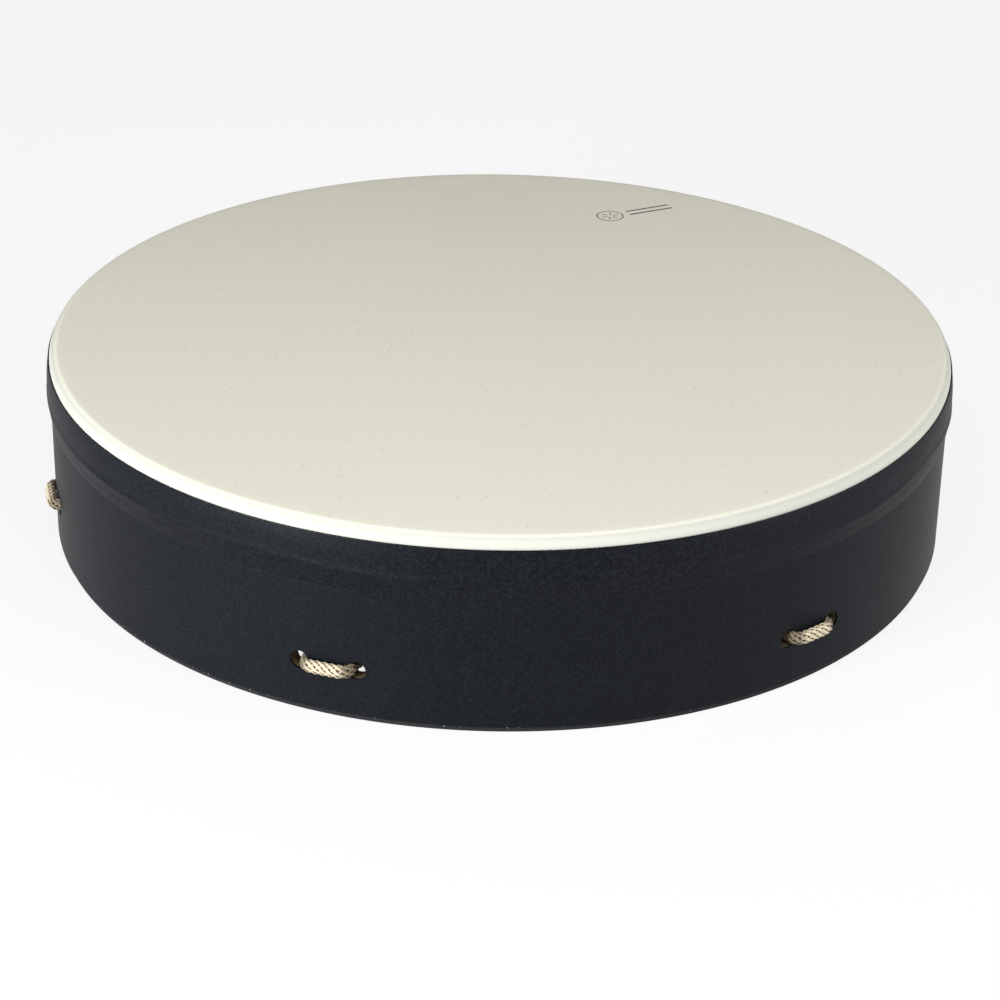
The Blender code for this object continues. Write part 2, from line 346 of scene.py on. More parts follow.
# %% [markdown]
# ## Turned bodies
# The shell, its covering, the head and the edge band are all bodies of revolution. A small function spins
# a section of (radius, height) points round Z with as many segments as a smooth edge needs, and it can
# let each point wander a little with its azimuth, because a glued covering is never perfectly true.

# %% Turn a section about Z
SEGMENTS = 360


def finish_mesh(name, bm, finish, crease=math.radians(40.0)):
    """An object at the origin from a bmesh, with its faces pointing outwards, smooth, in one material."""
    bmesh.ops.recalc_face_normals(bm, faces=bm.faces)
    mesh = bpy.data.meshes.new(name)
    bm.to_mesh(mesh)
    bm.free()
    mesh.shade_smooth()
    mesh.set_sharp_from_angle(angle=crease)
    mesh.materials.append(finish)
    obj = bpy.data.objects.new(name, mesh)
    scene.collection.objects.link(obj)
    return obj


def turned(name, section, finish, segments=SEGMENTS, wander=None, crease=math.radians(40.0)):
    """A body turned about Z. Points at radius 0, first and last, close it on the axis."""
    bm = bmesh.new()
    rings = []
    for radius, height in section:
        if radius == 0.0:
            rings.append([bm.verts.new((0.0, 0.0, height))] * segments)
            continue
        ring = []
        for i in range(segments):
            azimuth = 2.0 * math.pi * i / segments
            r, z = (radius, height) if wander is None else wander(azimuth, radius, height)
            ring.append(bm.verts.new((r * math.sin(azimuth), -r * math.cos(azimuth), z)))
        rings.append(ring)
    closed = section[0][0] > 0.0
    pairs = list(zip(rings, rings[1:])) + ([(rings[-1], rings[0])] if closed else [])
    for upper, lower in pairs:
        for i in range(segments):
            j = (i + 1) % segments
            loop = [upper[i], upper[j], lower[j], lower[i]]
            corners_here = list(dict.fromkeys(loop))
            if len(corners_here) > 2:
                bm.faces.new(corners_here)
    return finish_mesh(name, bm, finish, crease)


def arc(centre, radius, start, end, steps):
    """Points of a section along a round corner, between two angles in degrees."""
    angles = np.radians(np.linspace(start, end, steps + 1))
    return [(centre[0] + radius * math.cos(a), centre[1] + radius * math.sin(a)) for a in angles]


def evaluated_mesh(obj):
    """A new mesh of the object with its modifiers applied."""
    bpy.context.view_layer.update()
    return bpy.data.meshes.new_from_object(obj.evaluated_get(bpy.context.evaluated_depsgraph_get()))


def triangles(obj):
    return sum(len(face.vertices) - 2 for face in obj.data.polygons)


def wrapped(angle):
    """The same angle between -pi and pi."""
    return (angle + math.pi) % (2.0 * math.pi) - math.pi


def settle(piece, *nodes, slot=None):
    """The piece moves with the drum's one body, and stands for its CAD nodes."""
    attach(piece, "root")
    if nodes:
        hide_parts(*nodes)
    return piece


def waves(seed, count, lowest, highest):
    """A wavy function of azimuth, between about -1 and 1, that closes on itself."""
    rng = np.random.default_rng(seed)
    orders = rng.integers(lowest, highest + 1, count)
    phases = rng.uniform(0.0, 2.0 * math.pi, count)
    return lambda azimuth: float(np.sin(orders * azimuth + phases).sum() / math.sqrt(count))


# %% [markdown]
# ## Drumhead
# The head is a film faced with fine fibres: cream, matt, with sparse tan and grey flecks. It is drawn
# down over the rim in a rounded shoulder, and its skirt goes down the outside of the shell. The top has
# many rings, so that it can sag a tenth of a millimetre here and there, which keeps a large flat sheet
# from looking like a disc of card. A small mark is printed near its far edge. Here it is a made-up one, a
# ring with rays and two bars, drawn by a shader group.

# %% Printed mark
MARK_CENTRE = (66.0 * MM, 150.0 * MM)
MARK_TURN = math.radians(26.0)
RING_OFFSET = 14.0 * MM
BARS_OFFSET = 8.0 * MM
BAR_SPACING = 2.2 * MM


def make_mark_group():
    """A plain printed mark on a sheet in the XY plane: a ring with six rays, and two bars beside it."""
    sizes = {"Ring": 6.5 * MM, "Line": 0.6 * MM, "Bar length": 24.0 * MM}
    tree, entry, leave = new_group("printed_mark", sizes, ["Mask"])
    spot = node(tree, "ShaderNodeMapping", vector_type="TEXTURE")
    spot.inputs["Location"].default_value = (*MARK_CENTRE, 0.0)
    spot.inputs["Rotation"].default_value = (0.0, 0.0, MARK_TURN)
    wire(tree, object_place(tree), spot.inputs["Vector"])
    parts = split_xyz(tree, spot.outputs["Vector"])
    from_ring = plus(tree, parts["X"], RING_OFFSET)
    reach = distance_from_origin(tree, from_ring, parts["Y"])
    half_line = times(tree, entry.outputs["Line"], 0.5)
    off_ring = math_node(tree, "ABSOLUTE", minus(tree, reach, entry.outputs["Ring"]))
    ring = math_node(tree, "LESS_THAN", off_ring, half_line)
    turn = math_node(tree, "ARCTAN2", parts["Y"], from_ring)
    off_ray = times(tree, math_node(tree, "PINGPONG", turn, math.pi / 6.0), reach)
    middle = math_node(tree, "LESS_THAN", reach, times(tree, entry.outputs["Ring"], 0.72))
    hub = math_node(tree, "GREATER_THAN", reach, times(tree, entry.outputs["Ring"], 0.25))
    on_ray = math_node(tree, "LESS_THAN", off_ray, half_line)
    ray = times(tree, times(tree, middle, hub), on_ray)
    from_bars = math_node(tree, "ABSOLUTE", minus(tree, parts["X"], BARS_OFFSET))
    within = math_node(tree, "LESS_THAN", from_bars, times(tree, entry.outputs["Bar length"], 0.5))
    from_middle = minus(tree, math_node(tree, "ABSOLUTE", parts["Y"]), BAR_SPACING)
    off_bar = math_node(tree, "ABSOLUTE", from_middle)
    bars = times(tree, within, math_node(tree, "LESS_THAN", off_bar, entry.outputs["Line"]))
    mask = math_node(tree, "MAXIMUM", math_node(tree, "MAXIMUM", ring, ray), bars)
    wire(tree, mask, leave.inputs["Mask"])
    return tree


MARK = make_mark_group()


# %% Head material
def make_head_finish():
    finish, shader = principled("cream_head")
    tree = finish.node_tree
    cloud = cloudy(tree, 9.0, 1.2)
    fine = cloudy(tree, 700.0)
    flecks = use_group(tree, SPECKS, Cells_per_metre=120.0, Radius=0.062, Share=0.5)
    fibres = use_group(tree, SPECKS, Cells_per_metre=150.0, Radius=0.12, Share=0.45, Squash=0.30)
    mark = use_group(tree, MARK)
    base = tone(tree, (0.640, 0.612, 0.515), remap(tree, cloud, -0.5, 0.5), (0.605, 0.582, 0.492))
    base = tone(tree, base, remap(tree, fine, -0.25, 0.25, 0.0, 0.5), (0.575, 0.548, 0.458))
    pink = tone(tree, (0.44, 0.31, 0.22), flecks.outputs["Kind"], (0.36, 0.34, 0.31))
    base = tone(tree, base, times(tree, flecks.outputs["Mask"], 0.62), pink)
    base = tone(tree, base, times(tree, fibres.outputs["Mask"], 0.12), (0.50, 0.44, 0.35))
    base = tone(tree, base, times(tree, mark.outputs["Mask"], 0.93), (0.03, 0.03, 0.033))
    height = split_xyz(tree, object_place(tree))["Z"]
    drawn = remap(tree, height, head_high.z - 0.2 * MM, head_high.z - 0.9 * MM)
    base = tone(tree, base, drawn, (0.410, 0.402, 0.352))
    paint(tree, shader, base, remap(tree, fine, -0.5, 0.5, 0.62, 0.74), specular=0.15)
    lift(tree, shader, fine, 0.05 * MM, 0.6)
    return finish


# %% Head mesh
HEAD_THICKNESS = 0.5 * MM
SHOULDER = 4.5 * MM
HEAD_RINGS = 40
SAG = 0.10 * MM
SKIRT_WANDER = 0.4 * MM
head_flat = head_high.x - SHOULDER
shoulder_height = head_high.z - SHOULDER
sag_wave = waves(11, 5, 2, 6)
skirt_wave = waves(12, 6, 5, 17)


def head_wander(azimuth, radius, height):
    """The flat top sags a little inside its rim, and the skirt's foot is cut a little unevenly."""
    share = min(radius / head_flat, 1.0)
    sag = SAG * sag_wave(azimuth) * math.sin(math.pi * share) * share
    if height < shoulder_height:
        return radius, height + SKIRT_WANDER * skirt_wave(azimuth) * (height < head_low.z + 0.5 * MM)
    return radius, height + sag


outer_rings = [(head_flat * (i / HEAD_RINGS) ** 0.8, head_high.z) for i in range(HEAD_RINGS)]
inner_rings = [(r, z - HEAD_THICKNESS) for r, z in outer_rings]
head_section = (
    outer_rings
    + arc((head_flat, shoulder_height), SHOULDER, 90, 0, 12)
    + [(head_high.x, head_low.z), (head_high.x - HEAD_THICKNESS, head_low.z)]
    + arc((head_flat, shoulder_height), SHOULDER - HEAD_THICKNESS, 0, 90, 12)
    + inner_rings[::-1]
)
head_finish = make_head_finish()
head = turned("drumhead_skin", head_section, head_finish, wander=head_wander)
settle(head, "drumhead", slot="cream_head")
print("head faces:", len(head.data.polygons))

# %% [markdown]
# ## Black covering and edge band
# The side is covered with a thin blue-black sheet with a fine pebbled grain. Near the top a second strip,
# the edge band, goes over the head's skirt and the hoop. Drawn tight over the hoop it stands out in a
# low, slightly wavy ridge, and that ridge is what the side lights pick out.

# %% Covering material
def make_cover_finish(name, roughness, mottling, crinkle):
    """Fine pebbles with a mottled tone; mottling widens the tone, and crinkle adds larger creases."""
    finish, shader = principled(name)
    tree = finish.node_tree
    grain = use_group(tree, GRAIN, Pebbles_per_metre=1300.0, Roughening=0.6)
    cloud = cloudy(tree, 30.0)
    mottle = cloudy(tree, 850.0, mottling)
    tint = cloudy(tree, 610.0)
    creases = cloudy(tree, 330.0, crinkle)
    dust = cloudy(tree, 260.0)
    base = tone(tree, (0.0036, 0.0043, 0.0059), remap(tree, cloud, -0.4, 0.4), (0.0047, 0.0054, 0.0073))
    base = tone(tree, base, remap(tree, mottle, 0.0, 0.3), (0.0088, 0.0100, 0.0124))
    base = tone(tree, base, remap(tree, mottle, 0.0, -0.3), (0.0014, 0.0017, 0.0026))
    base = tone(tree, base, remap(tree, tint, 0.05, 0.30, 0.0, 0.35), (0.0080, 0.0052, 0.0060))
    base = tone(tree, base, remap(tree, dust, 0.30, 0.34, 0.0, 0.5), (0.045, 0.047, 0.05))
    gloss = remap(tree, grain.outputs["Height"], 0.2, 1.0, roughness + 0.08, roughness - 0.06)
    paint(tree, shader, base, gloss, specular=0.075)
    surface = plus(tree, grain.outputs["Height"], times(tree, creases, 4.0))
    lift(tree, shader, surface, 0.05 * MM, 0.6)
    return finish


cover_finish = make_cover_finish("black_covering", 0.50, 0.85, 0.0)
band_finish = make_cover_finish("edge_band_covering", 0.50, 1.3, 0.5)

# %% Holes for the lacing
PAIR_AZIMUTHS = (-19.5, 40.2, 100.4, 160.9, 221.6, 282.3)
PAIRS = len(PAIR_AZIMUTHS)
HALF_PAIR = math.radians(3.5)
HOLE_HEIGHT = 23.5 * MM
HOLE_RADIUS = 4.1 * MM
HOLE_LIP = 0.2 * MM
HOLE_SIDES = 40


def pair_azimuth(pair):
    turns, index = divmod(pair, PAIRS)
    return math.radians(PAIR_AZIMUTHS[index]) + 2.0 * math.pi * turns


def place(azimuth, across, out, height):
    """The point at a distance across and out from the axis, along the direction of an azimuth from -Y."""
    radial = Vector((math.sin(azimuth), -math.cos(azimuth), 0.0))
    sideways = Vector((math.cos(azimuth), math.sin(azimuth), 0.0))
    return radial * out + sideways * across + Vector((0.0, 0.0, height))


def drill_out(piece, surface, depth):
    """Twelve radial holes, a little wider at the surface, so that their edges are soft."""
    bm = bmesh.new()
    profile = [(surface - depth, HOLE_RADIUS), (surface - HOLE_LIP, HOLE_RADIUS)]
    profile += [(surface - 0.3 * HOLE_LIP, HOLE_RADIUS + 0.3 * HOLE_LIP)]
    profile += [(surface + 0.1 * MM, HOLE_RADIUS + HOLE_LIP)]
    profile += [(surface + 4 * MM, HOLE_RADIUS + HOLE_LIP)]
    for pair in range(PAIRS):
        for side in (-1.0, 1.0):
            azimuth = pair_azimuth(pair) + side * HALF_PAIR
            rings = []
            for out, radius in profile:
                turn = [2.0 * math.pi * i / HOLE_SIDES for i in range(HOLE_SIDES)]
                spots = [(radius * math.cos(t), HOLE_HEIGHT + radius * math.sin(t)) for t in turn]
                rings.append([bm.verts.new(place(azimuth, across, out, height)) for across, height in spots])
            for near, far in zip(rings, rings[1:]):
                for i in range(HOLE_SIDES):
                    j = (i + 1) % HOLE_SIDES
                    bm.faces.new([near[i], near[j], far[j], far[i]])
            bm.faces.new(rings[0][::-1])
            bm.faces.new(rings[-1])
    drill = finish_mesh("drill", bm, cover_finish)
    cut = piece.modifiers.new("holes", "BOOLEAN")
    cut.operation = "DIFFERENCE"
    cut.solver = "EXACT"
    cut.object = drill
    mesh = evaluated_mesh(piece)
    piece.modifiers.clear()
    piece.data = mesh
    mesh.set_sharp_from_angle(angle=math.radians(35.0))
    bpy.data.objects.remove(drill)
    return piece


# %% Side covering
COVER_THICKNESS = 0.7 * MM
EDGE_ROUND = 0.25 * MM
SEAM_AZIMUTH = math.radians(176.0)
SEAM_LAP = math.radians(3.4)
SEAM_STEP = 0.30 * MM
foot_wave = waves(21, 8, 6, 40)
side_wave = waves(22, 6, 3, 12)
SIDE_WANDER = 0.05 * MM
FOOT_WANDER = 0.12 * MM


def seam_rise(azimuth):
    """The covering's end laps over its start at the back: a step at one side that dies away on the other."""
    past = (azimuth - SEAM_AZIMUTH) / SEAM_LAP
    return SEAM_STEP * (1.0 - past) if 0.0 <= past <= 1.0 else 0.0


def cover_wander(azimuth, radius, height):
    outside = radius > cover_high.x - 0.5 * COVER_THICKNESS
    out = radius + (seam_rise(azimuth) + SIDE_WANDER * side_wave(azimuth)) * outside
    low = height < cover_foot + 0.6 * MM
    return out, height + FOOT_WANDER * foot_wave(azimuth) * low


cover_outer = cover_high.x
cover_top = band_low.z + 0.15 * MM
cover_foot = cover_low.z - 0.5 * MM
cover_inner = cover_outer - COVER_THICKNESS
cover_section = (
    arc((cover_outer - EDGE_ROUND, cover_top - EDGE_ROUND), EDGE_ROUND, 90, 0, 3)
    + [(cover_outer, z) for z in np.linspace(cover_top - 2 * EDGE_ROUND, cover_foot + 2 * EDGE_ROUND, 8)]
    + arc((cover_outer - EDGE_ROUND, cover_foot + EDGE_ROUND), EDGE_ROUND, 0, -90, 3)
    + [(cover_inner, cover_foot), (cover_inner, cover_top)]
)
cover = turned("side_covering_skin", cover_section, cover_finish, wander=cover_wander)
drill_out(cover, cover_outer, 4.0 * MM)
settle(cover, "side_covering", slot="black_covering")
print("covering faces:", len(cover.data.polygons))

# %% Edge band
BAND_THICKNESS = 0.4 * MM
RIDGE_HEIGHT = 69.6 * MM
RIDGE_SPREAD = 1.8 * MM
RIDGE_RISE = 0.38 * MM
BAND_FACE = (
    (59.7, 203.08),
    (61.5, 203.42),
    (64.0, 204.05),
    (67.0, 204.45),
    (71.5, 204.65),
    (77.5, 204.45),
    (81.0, 204.1),
    (84.0, 203.6),
)
ridge_wave = waves(31, 7, 2, 13)
ridge_size_wave = waves(32, 7, 3, 19)
pucker_wave = waves(33, 9, 18, 60)
crease_wave = waves(34, 9, 70, 150)
LOOSE_PLACE = math.radians(22.0)
LOOSE_SPREAD = math.radians(9.0)
LOOSE_FACTOR = 3.5
PUCKER = 0.05 * MM
CREASE = 0.015 * MM
CREASE_LEAN = 0.9
RIDGE_WANDER = 0.9 * MM
FOOT_CLEARANCE = 0.03 * MM


def band_radius(height):
    heights = [h * MM for h, r in BAND_FACE]
    radii = [r * MM for h, r in BAND_FACE]
    return float(np.interp(height, heights, radii))


def smooth_radius(height):
    """The band's radius with its corners rounded off over 1.5 mm."""
    spread = np.linspace(-1.5, 1.5, 9) * MM
    return float(np.mean([band_radius(min(max(height + s, band_low.z), band_high.z)) for s in spread]))


def band_wander(azimuth, radius, height):
    ridge = RIDGE_HEIGHT + RIDGE_WANDER * ridge_wave(azimuth)
    bead = math.exp(-(((height - ridge) / RIDGE_SPREAD) ** 2)) * (1.0 + 0.35 * ridge_size_wave(azimuth))
    share = (height - band_low.z) / (band_high.z - band_low.z)
    loose = 4.0 * share * (1.0 - share)
    near_loose = LOOSE_FACTOR * math.exp(-((wrapped(azimuth + LOOSE_PLACE) / LOOSE_SPREAD) ** 2))
    pucker = PUCKER * pucker_wave(azimuth) * loose * (share > 0.0) * (share < 1.0)
    crease = CREASE * crease_wave(azimuth + CREASE_LEAN * share) * near_loose * bead
    follow = SIDE_WANDER * side_wave(azimuth) * (1.0 - share)
    return radius + RIDGE_RISE * bead + pucker + crease + follow + 0.6 * seam_rise(azimuth), height


band_heights = np.linspace(band_low.z + EDGE_ROUND, band_high.z - 0.5 * EDGE_ROUND, 46)[::-1]
band_outer = [(smooth_radius(z), z) for z in band_heights]
band_section = (
    [(band_outer[0][0] - share * BAND_THICKNESS, band_high.z) for share in (0.6, 0.25)]
    + band_outer
    + [(band_outer[-1][0] - 0.05 * MM, band_low.z), (cover_outer + FOOT_CLEARANCE, band_low.z)]
    + [(max(r - BAND_THICKNESS, cover_outer + FOOT_CLEARANCE), z) for r, z in band_outer[::-1][::3]]
)
band = turned("edge_band_skin", band_section, band_finish, segments=720, wander=band_wander)
settle(band, "edge_band", slot="black_covering")
print("band faces:", len(band.data.polygons))

# %% [markdown]
# ## Shell
# The shell is a laminate of dyed wood fibre, 6 mm thick, so its colour depends on where it is cut.
# Outside, where it shows only at the foot, it is sealed and nearly black. The holes and the open rim are
# cut edges, brown, with the plies as rings on the rim, and the inside is bare, mottled brown fibre. One
# material does all that by position.

# %% Shell material
def make_shell_finish():
    finish, shader = principled("shell_fibre")
    tree = finish.node_tree
    parts = split_xyz(tree, object_place(tree))
    out = distance_from_origin(tree, parts["X"], parts["Y"])
    cloud = cloudy(tree, 45.0)
    fibre = cloudy(tree, 1100.0)
    wander = times(tree, cloud, 0.5 * MM)
    depth = math_node(tree, "DIVIDE", plus(tree, out, wander), PLY_THICKNESS)
    ply = math_node(tree, "PINGPONG", depth, 1.0)
    raw = tone(tree, (0.096, 0.066, 0.033), remap(tree, cloud, -0.35, 0.35), (0.070, 0.050, 0.026))
    raw = tone(tree, raw, remap(tree, fibre, -0.1, 0.4, 0.0, 0.5), (0.17, 0.115, 0.06))
    raw = tone(tree, raw, remap(tree, ply, 0.70, 1.0, 0.0, 0.75), (0.035, 0.022, 0.012))
    sealed = tone(tree, (0.016, 0.016, 0.017), remap(tree, fibre, 0.0, 0.4), (0.026, 0.026, 0.027))
    outside = remap(tree, out, shell_high.x - 0.35 * MM, shell_high.x - 0.1 * MM)
    paint(tree, shader, tone(tree, raw, outside, sealed), 0.85, specular=0.1)
    lift(tree, shader, fibre, 0.1 * MM, 0.6)
    return finish


# %% Shell mesh
PLY_THICKNESS = 1.15 * MM
shell_finish = make_shell_finish()
SHELL_WALL = 6.0 * MM
FOOT_CHAMFER = 0.4 * MM
shell_outer = shell_high.x
shell_inner = shell_outer - SHELL_WALL
rim_radius = SHOULDER - 0.8 * MM
shell_section = (
    arc((shell_outer - rim_radius, shell_high.z - rim_radius), rim_radius, 90, 0, 8)
    + [(shell_outer, FOOT_CHAMFER), (shell_outer - FOOT_CHAMFER, 0.0), (shell_inner, 0.0)]
    + [(shell_inner, shell_high.z - 1.5 * MM), (shell_inner + 1.5 * MM, shell_high.z)]
)
shell = turned("shell_body", shell_section, shell_finish)
drill_out(shell, shell_outer, 9.0 * MM)
settle(shell, "shell", slot="shell_fibre")
print("shell faces:", len(shell.data.polygons))

# %% [markdown]
# ## Braided lacing
# One soft braided cord goes through all twelve holes: out of one, along the shell and in at the next, and
# across to the ring in the middle and back. It follows the imported route, but is drawn a little tighter
# where it leaves the holes. The braid could be a pattern painted on a tube, but its dark gaps and its
# bumpy outline are what one sees, so the strands are modelled: six wide ones wind one way and six thin
# ones the other, over and under, round a core. The core's near-black colour is painted shade: it stands
# for the shade in the gaps between the strands.

# %% The cord's route
CORD_RADIUS = 2.75 * MM
CORD_HEIGHT = HOLE_HEIGHT - 0.2 * MM
GAP = 0.3 * MM
LEG_PIN = 10.0 * MM
RING_RADIUS = 29.0 * MM
ROD_RADIUS = 4.0 * MM
WRAP_GAP = 0.5 * MM
WRAP_RADIUS = ROD_RADIUS + WRAP_GAP + CORD_RADIUS
BIGHT_LEAN = 5.0 * MM
BIGHT_STEPS = 6
END_OFFSET = 7.6 * MM
TAIL_LENGTH = 44.0 * MM
SEIZING_START = 24.0 * MM
SEIZING_LENGTH = 11.0 * MM


def middle_azimuth(pair):
    """The direction half way between the pair before and this one."""
    return 0.5 * (pair_azimuth(pair - 1) + pair_azimuth(pair))


def outer_loop(pair):
    """The cord out through one hole of a pair, along the shell and in through the other, drawn tight."""
    half = (
        (-11.9, 188.0),
        (-10.7, 194.5),
        (-10.2, 199.0),
        (-10.05, 202.3),
        (-9.35, 204.3),
        (-7.4, 205.45),
        (-4.2, 205.8),
    )
    route = list(half) + [(0.0, 205.8)] + [(-across, out) for across, out in reversed(half)]
    return [place(pair_azimuth(pair), across * MM, out * MM, CORD_HEIGHT) for across, out in route]


def bight(pair):
    """The turn round the ring between the leg from the pair before and the leg to this pair."""
    points = []
    for step in range(BIGHT_STEPS + 1):
        turn = step / BIGHT_STEPS
        angle = math.pi * (0.5 + turn)
        across = BIGHT_LEAN * (2.0 * turn - 1.0)
        out = RING_RADIUS + WRAP_RADIUS * math.cos(angle)
        points.append(place(middle_azimuth(pair), across, out, CORD_HEIGHT + WRAP_RADIUS * math.sin(angle)))
    return points


def end_turn(side):
    """A turn round the ring in the plane of one leg: side is +1 for the cord's start and -1 for its end."""
    azimuth = middle_azimuth(0)
    lean = pair_azimuth(0) - azimuth
    crossing = place(azimuth, side * END_OFFSET, RING_RADIUS, 0.0)
    outward = place(azimuth + side * lean, 0.0, 1.0, 0.0)
    reach = WRAP_RADIUS / math.cos(lean)
    points = []
    for step in range(BIGHT_STEPS + 1):
        angle = math.pi * (0.5 + step / BIGHT_STEPS)
        rise = Vector((0.0, 0.0, CORD_HEIGHT + WRAP_RADIUS * math.sin(angle)))
        points.append(crossing + outward * (reach * math.cos(angle)) + rise)
    return points


def along_leg(start, end, distance):
    return start + (end - start).normalized() * distance


def straight_leg(start, end):
    return [along_leg(start, end, LEG_PIN), along_leg(end, start, LEG_PIN)]


def tail(start, end, height_offset):
    """The cut end of the cord, laid back along its own leg, from its tip to the ring."""
    stations = (TAIL_LENGTH, SEIZING_START + SEIZING_LENGTH, SEIZING_START, 0.6 * SEIZING_START)
    return [along_leg(start, end, station) + Vector((0.0, 0.0, height_offset)) for station in stations]


def cord_route():
    """Every point of the lacing, from the first cut end to the last."""
    lap = 2.0 * CORD_RADIUS + GAP
    first_turn, last_turn = end_turn(1.0), end_turn(-1.0)
    loops = [outer_loop(pair) for pair in range(PAIRS)]
    turns = [first_turn] + [bight(pair) for pair in range(1, PAIRS)] + [last_turn]
    route = tail(first_turn[-1], loops[0][0], lap) + first_turn
    for loop, turn_before, turn_after in zip(loops, turns, turns[1:]):
        route += straight_leg(turn_before[-1], loop[0])
        route += loop
        route += straight_leg(loop[-1], turn_after[0])
        route += turn_after
    return route + tail(last_turn[0], loops[-1][-1], -lap)[::-1]


# %% A smooth curve along the route
FINE_STEP = 0.42 * MM
COARSE_STEP = 0.8 * MM
WELL_INSIDE = 190.0 * MM


def smooth_curve(points, step_at):
    """Points along a smooth curve through the route's points; step_at gives the spacing wanted at a point."""
    count = len(points)
    spans = [(points[i + 1] - points[i]).length for i in range(count - 1)]
    slopes = []
    for i in range(count):
        before = (points[i] - points[i - 1]) / spans[i - 1] if i > 0 else None
        after = (points[i + 1] - points[i]) / spans[i] if i + 1 < count else None
        if before is None or after is None:
            slopes.append(after if before is None else before)
        else:
            weight = spans[i - 1] / (spans[i - 1] + spans[i])
            slopes.append(before * (1.0 - weight) + after * weight)
    curve = [points[0]]
    for i, span in enumerate(spans):
        pieces = max(1, round(span / step_at(points[i])))
        for piece in range(1, pieces + 1):
            t = piece / pieces
            curve.append(
                points[i] * (2 * t**3 - 3 * t**2 + 1)
                + slopes[i] * (span * (t**3 - 2 * t**2 + t))
                + points[i + 1] * (3 * t**2 - 2 * t**3)
                + slopes[i + 1] * (span * (t**3 - t**2))
            )
    return curve


def braid_step(point):
    """Fine where the cord shows outside the shell, coarser inside it."""
    return FINE_STEP if point.xy.length > WELL_INSIDE else COARSE_STEP


HOLE_EDGE = 8.2 * MM
LOOP_HUG = 0.67
HUG_FADE = 6.0 * MM


def hug_at(point):
    """The direction in which the cord is drawn against the shell: longest at a hole's edge, 0 well inside."""
    out = point.xy.length
    if out < WELL_INSIDE:
        return Vector((0.0, 0.0, 0.0))
    azimuth = math.atan2(point.x, -point.y)
    pair = min(range(PAIRS), key=lambda p: abs(wrapped(azimuth - pair_azimuth(p))))
    away = wrapped(azimuth - pair_azimuth(pair))
    across, along = out * math.sin(away), out * math.cos(away)
    edge_across = max(-HOLE_EDGE, min(HOLE_EDGE, across))
    edge_along = min(along, cover_outer)
    hug = place(pair_azimuth(pair), edge_across - across, edge_along - along, 0.0)
    if hug.length < 1e-6:
        return Vector((0.0, 0.0, 0.0))
    round_edge = min(1.0, max(0.0, (abs(across) - 0.65 * HOLE_EDGE) / (0.35 * HOLE_EDGE)))
    fade = min(1.0, (out - WELL_INSIDE) / HUG_FADE)
    return hug.normalized() * fade * (LOOP_HUG + (1.0 - LOOP_HUG) * round_edge)


def path_object(name, points, hugs=None):
    """A mesh of edges along the points, with each point's hug as an attribute."""
    mesh = bpy.data.meshes.new(name)
    mesh.from_pydata(points, [(i, i + 1) for i in range(len(points) - 1)], [])
    hugs = hugs or [Vector((0.0, 0.0, 0.0))] * len(points)
    stored = mesh.attributes.new("hug", "FLOAT_VECTOR", "POINT")
    stored.data.foreach_set("vector", [c for hug in hugs for c in hug])
    obj = bpy.data.objects.new(name, mesh)
    scene.collection.objects.link(obj)
    return obj


cord_path = smooth_curve(cord_route(), braid_step)
cord_length = sum((b - a).length for a, b in zip(cord_path, cord_path[1:]))
print("cord length, m:", round(cord_length, 3), "points:", len(cord_path))

# %% [markdown]
# ### The braid as Geometry Nodes
# The tree copies the path once for each strand, and moves each copy's points to a place on a circle round
# the path that turns as the strand goes along. A cosine lifts and lowers the strand, once for every two
# crossings, and the strands of the other direction get the same cosine upside down: that is the whole of
# over and under. The cord is soft, so where it is drawn against the shell it is also pressed flatter,
# along a direction stored on its path.

# %% Helpers for Geometry Nodes
def geometry_group(name, inputs):
    """A geometry node tree with Geometry in and out, and the named inputs {name: (socket kind, value)}."""
    tree = bpy.data.node_groups.new(name, "GeometryNodeTree")
    tree.interface.new_socket("Geometry", in_out="INPUT", socket_type="NodeSocketGeometry")
    for label, (kind, value) in inputs.items():
        socket = tree.interface.new_socket(label, in_out="INPUT", socket_type="NodeSocket" + kind)
        if value is not None:
            socket.default_value = value
    tree.interface.new_socket("Geometry", in_out="OUTPUT", socket_type="NodeSocketGeometry")
    return tree, tree.nodes.new("NodeGroupInput"), tree.nodes.new("NodeGroupOutput")


def vector_node(tree, operation, first, second=None, scale=None):
    """A Vector Math node whose operands are sockets or vectors; it returns its output socket."""
    made = node(tree, "ShaderNodeVectorMath", operation=operation)
    for slot, operand in enumerate((first, second)):
        if operand is None:
            continue
        if isinstance(operand, tuple):
            made.inputs[slot].default_value = operand
        else:
            wire(tree, operand, made.inputs[slot])
    if scale is not None:
        if isinstance(scale, float):
            made.inputs["Scale"].default_value = scale
        else:
            wire(tree, scale, made.inputs["Scale"])
    return made.outputs["Value"] if operation in {"LENGTH", "DOT_PRODUCT"} else made.outputs["Vector"]


def store(tree, geometry, name, kind, value):
    """A Store Named Attribute node on points; it returns its geometry."""
    made = node(tree, "GeometryNodeStoreNamedAttribute", {"Name": name}, data_type=kind, domain="POINT")
    wire(tree, geometry, made.inputs["Geometry"])
    wire(tree, value, made.inputs["Value"])
    return made.outputs["Geometry"]


def made_by(name, source, tree, finish, **values):
    """A plain mesh object that a tree makes from a source object's geometry, with its inputs set by name."""
    modifier = source.modifiers.new(tree.name, "NODES")
    modifier.node_group = tree
    sockets = {item.name: item.identifier for item in tree.interface.items_tree if item.in_out == "INPUT"}
    for label, value in values.items():
        modifier[sockets[label.replace("_", " ")]] = value
    modifier[sockets["Finish"]] = finish
    mesh = evaluated_mesh(source)
    source.modifiers.remove(modifier)
    mesh.name = name
    obj = bpy.data.objects.new(name, mesh)
    scene.collection.objects.link(obj)
    return obj


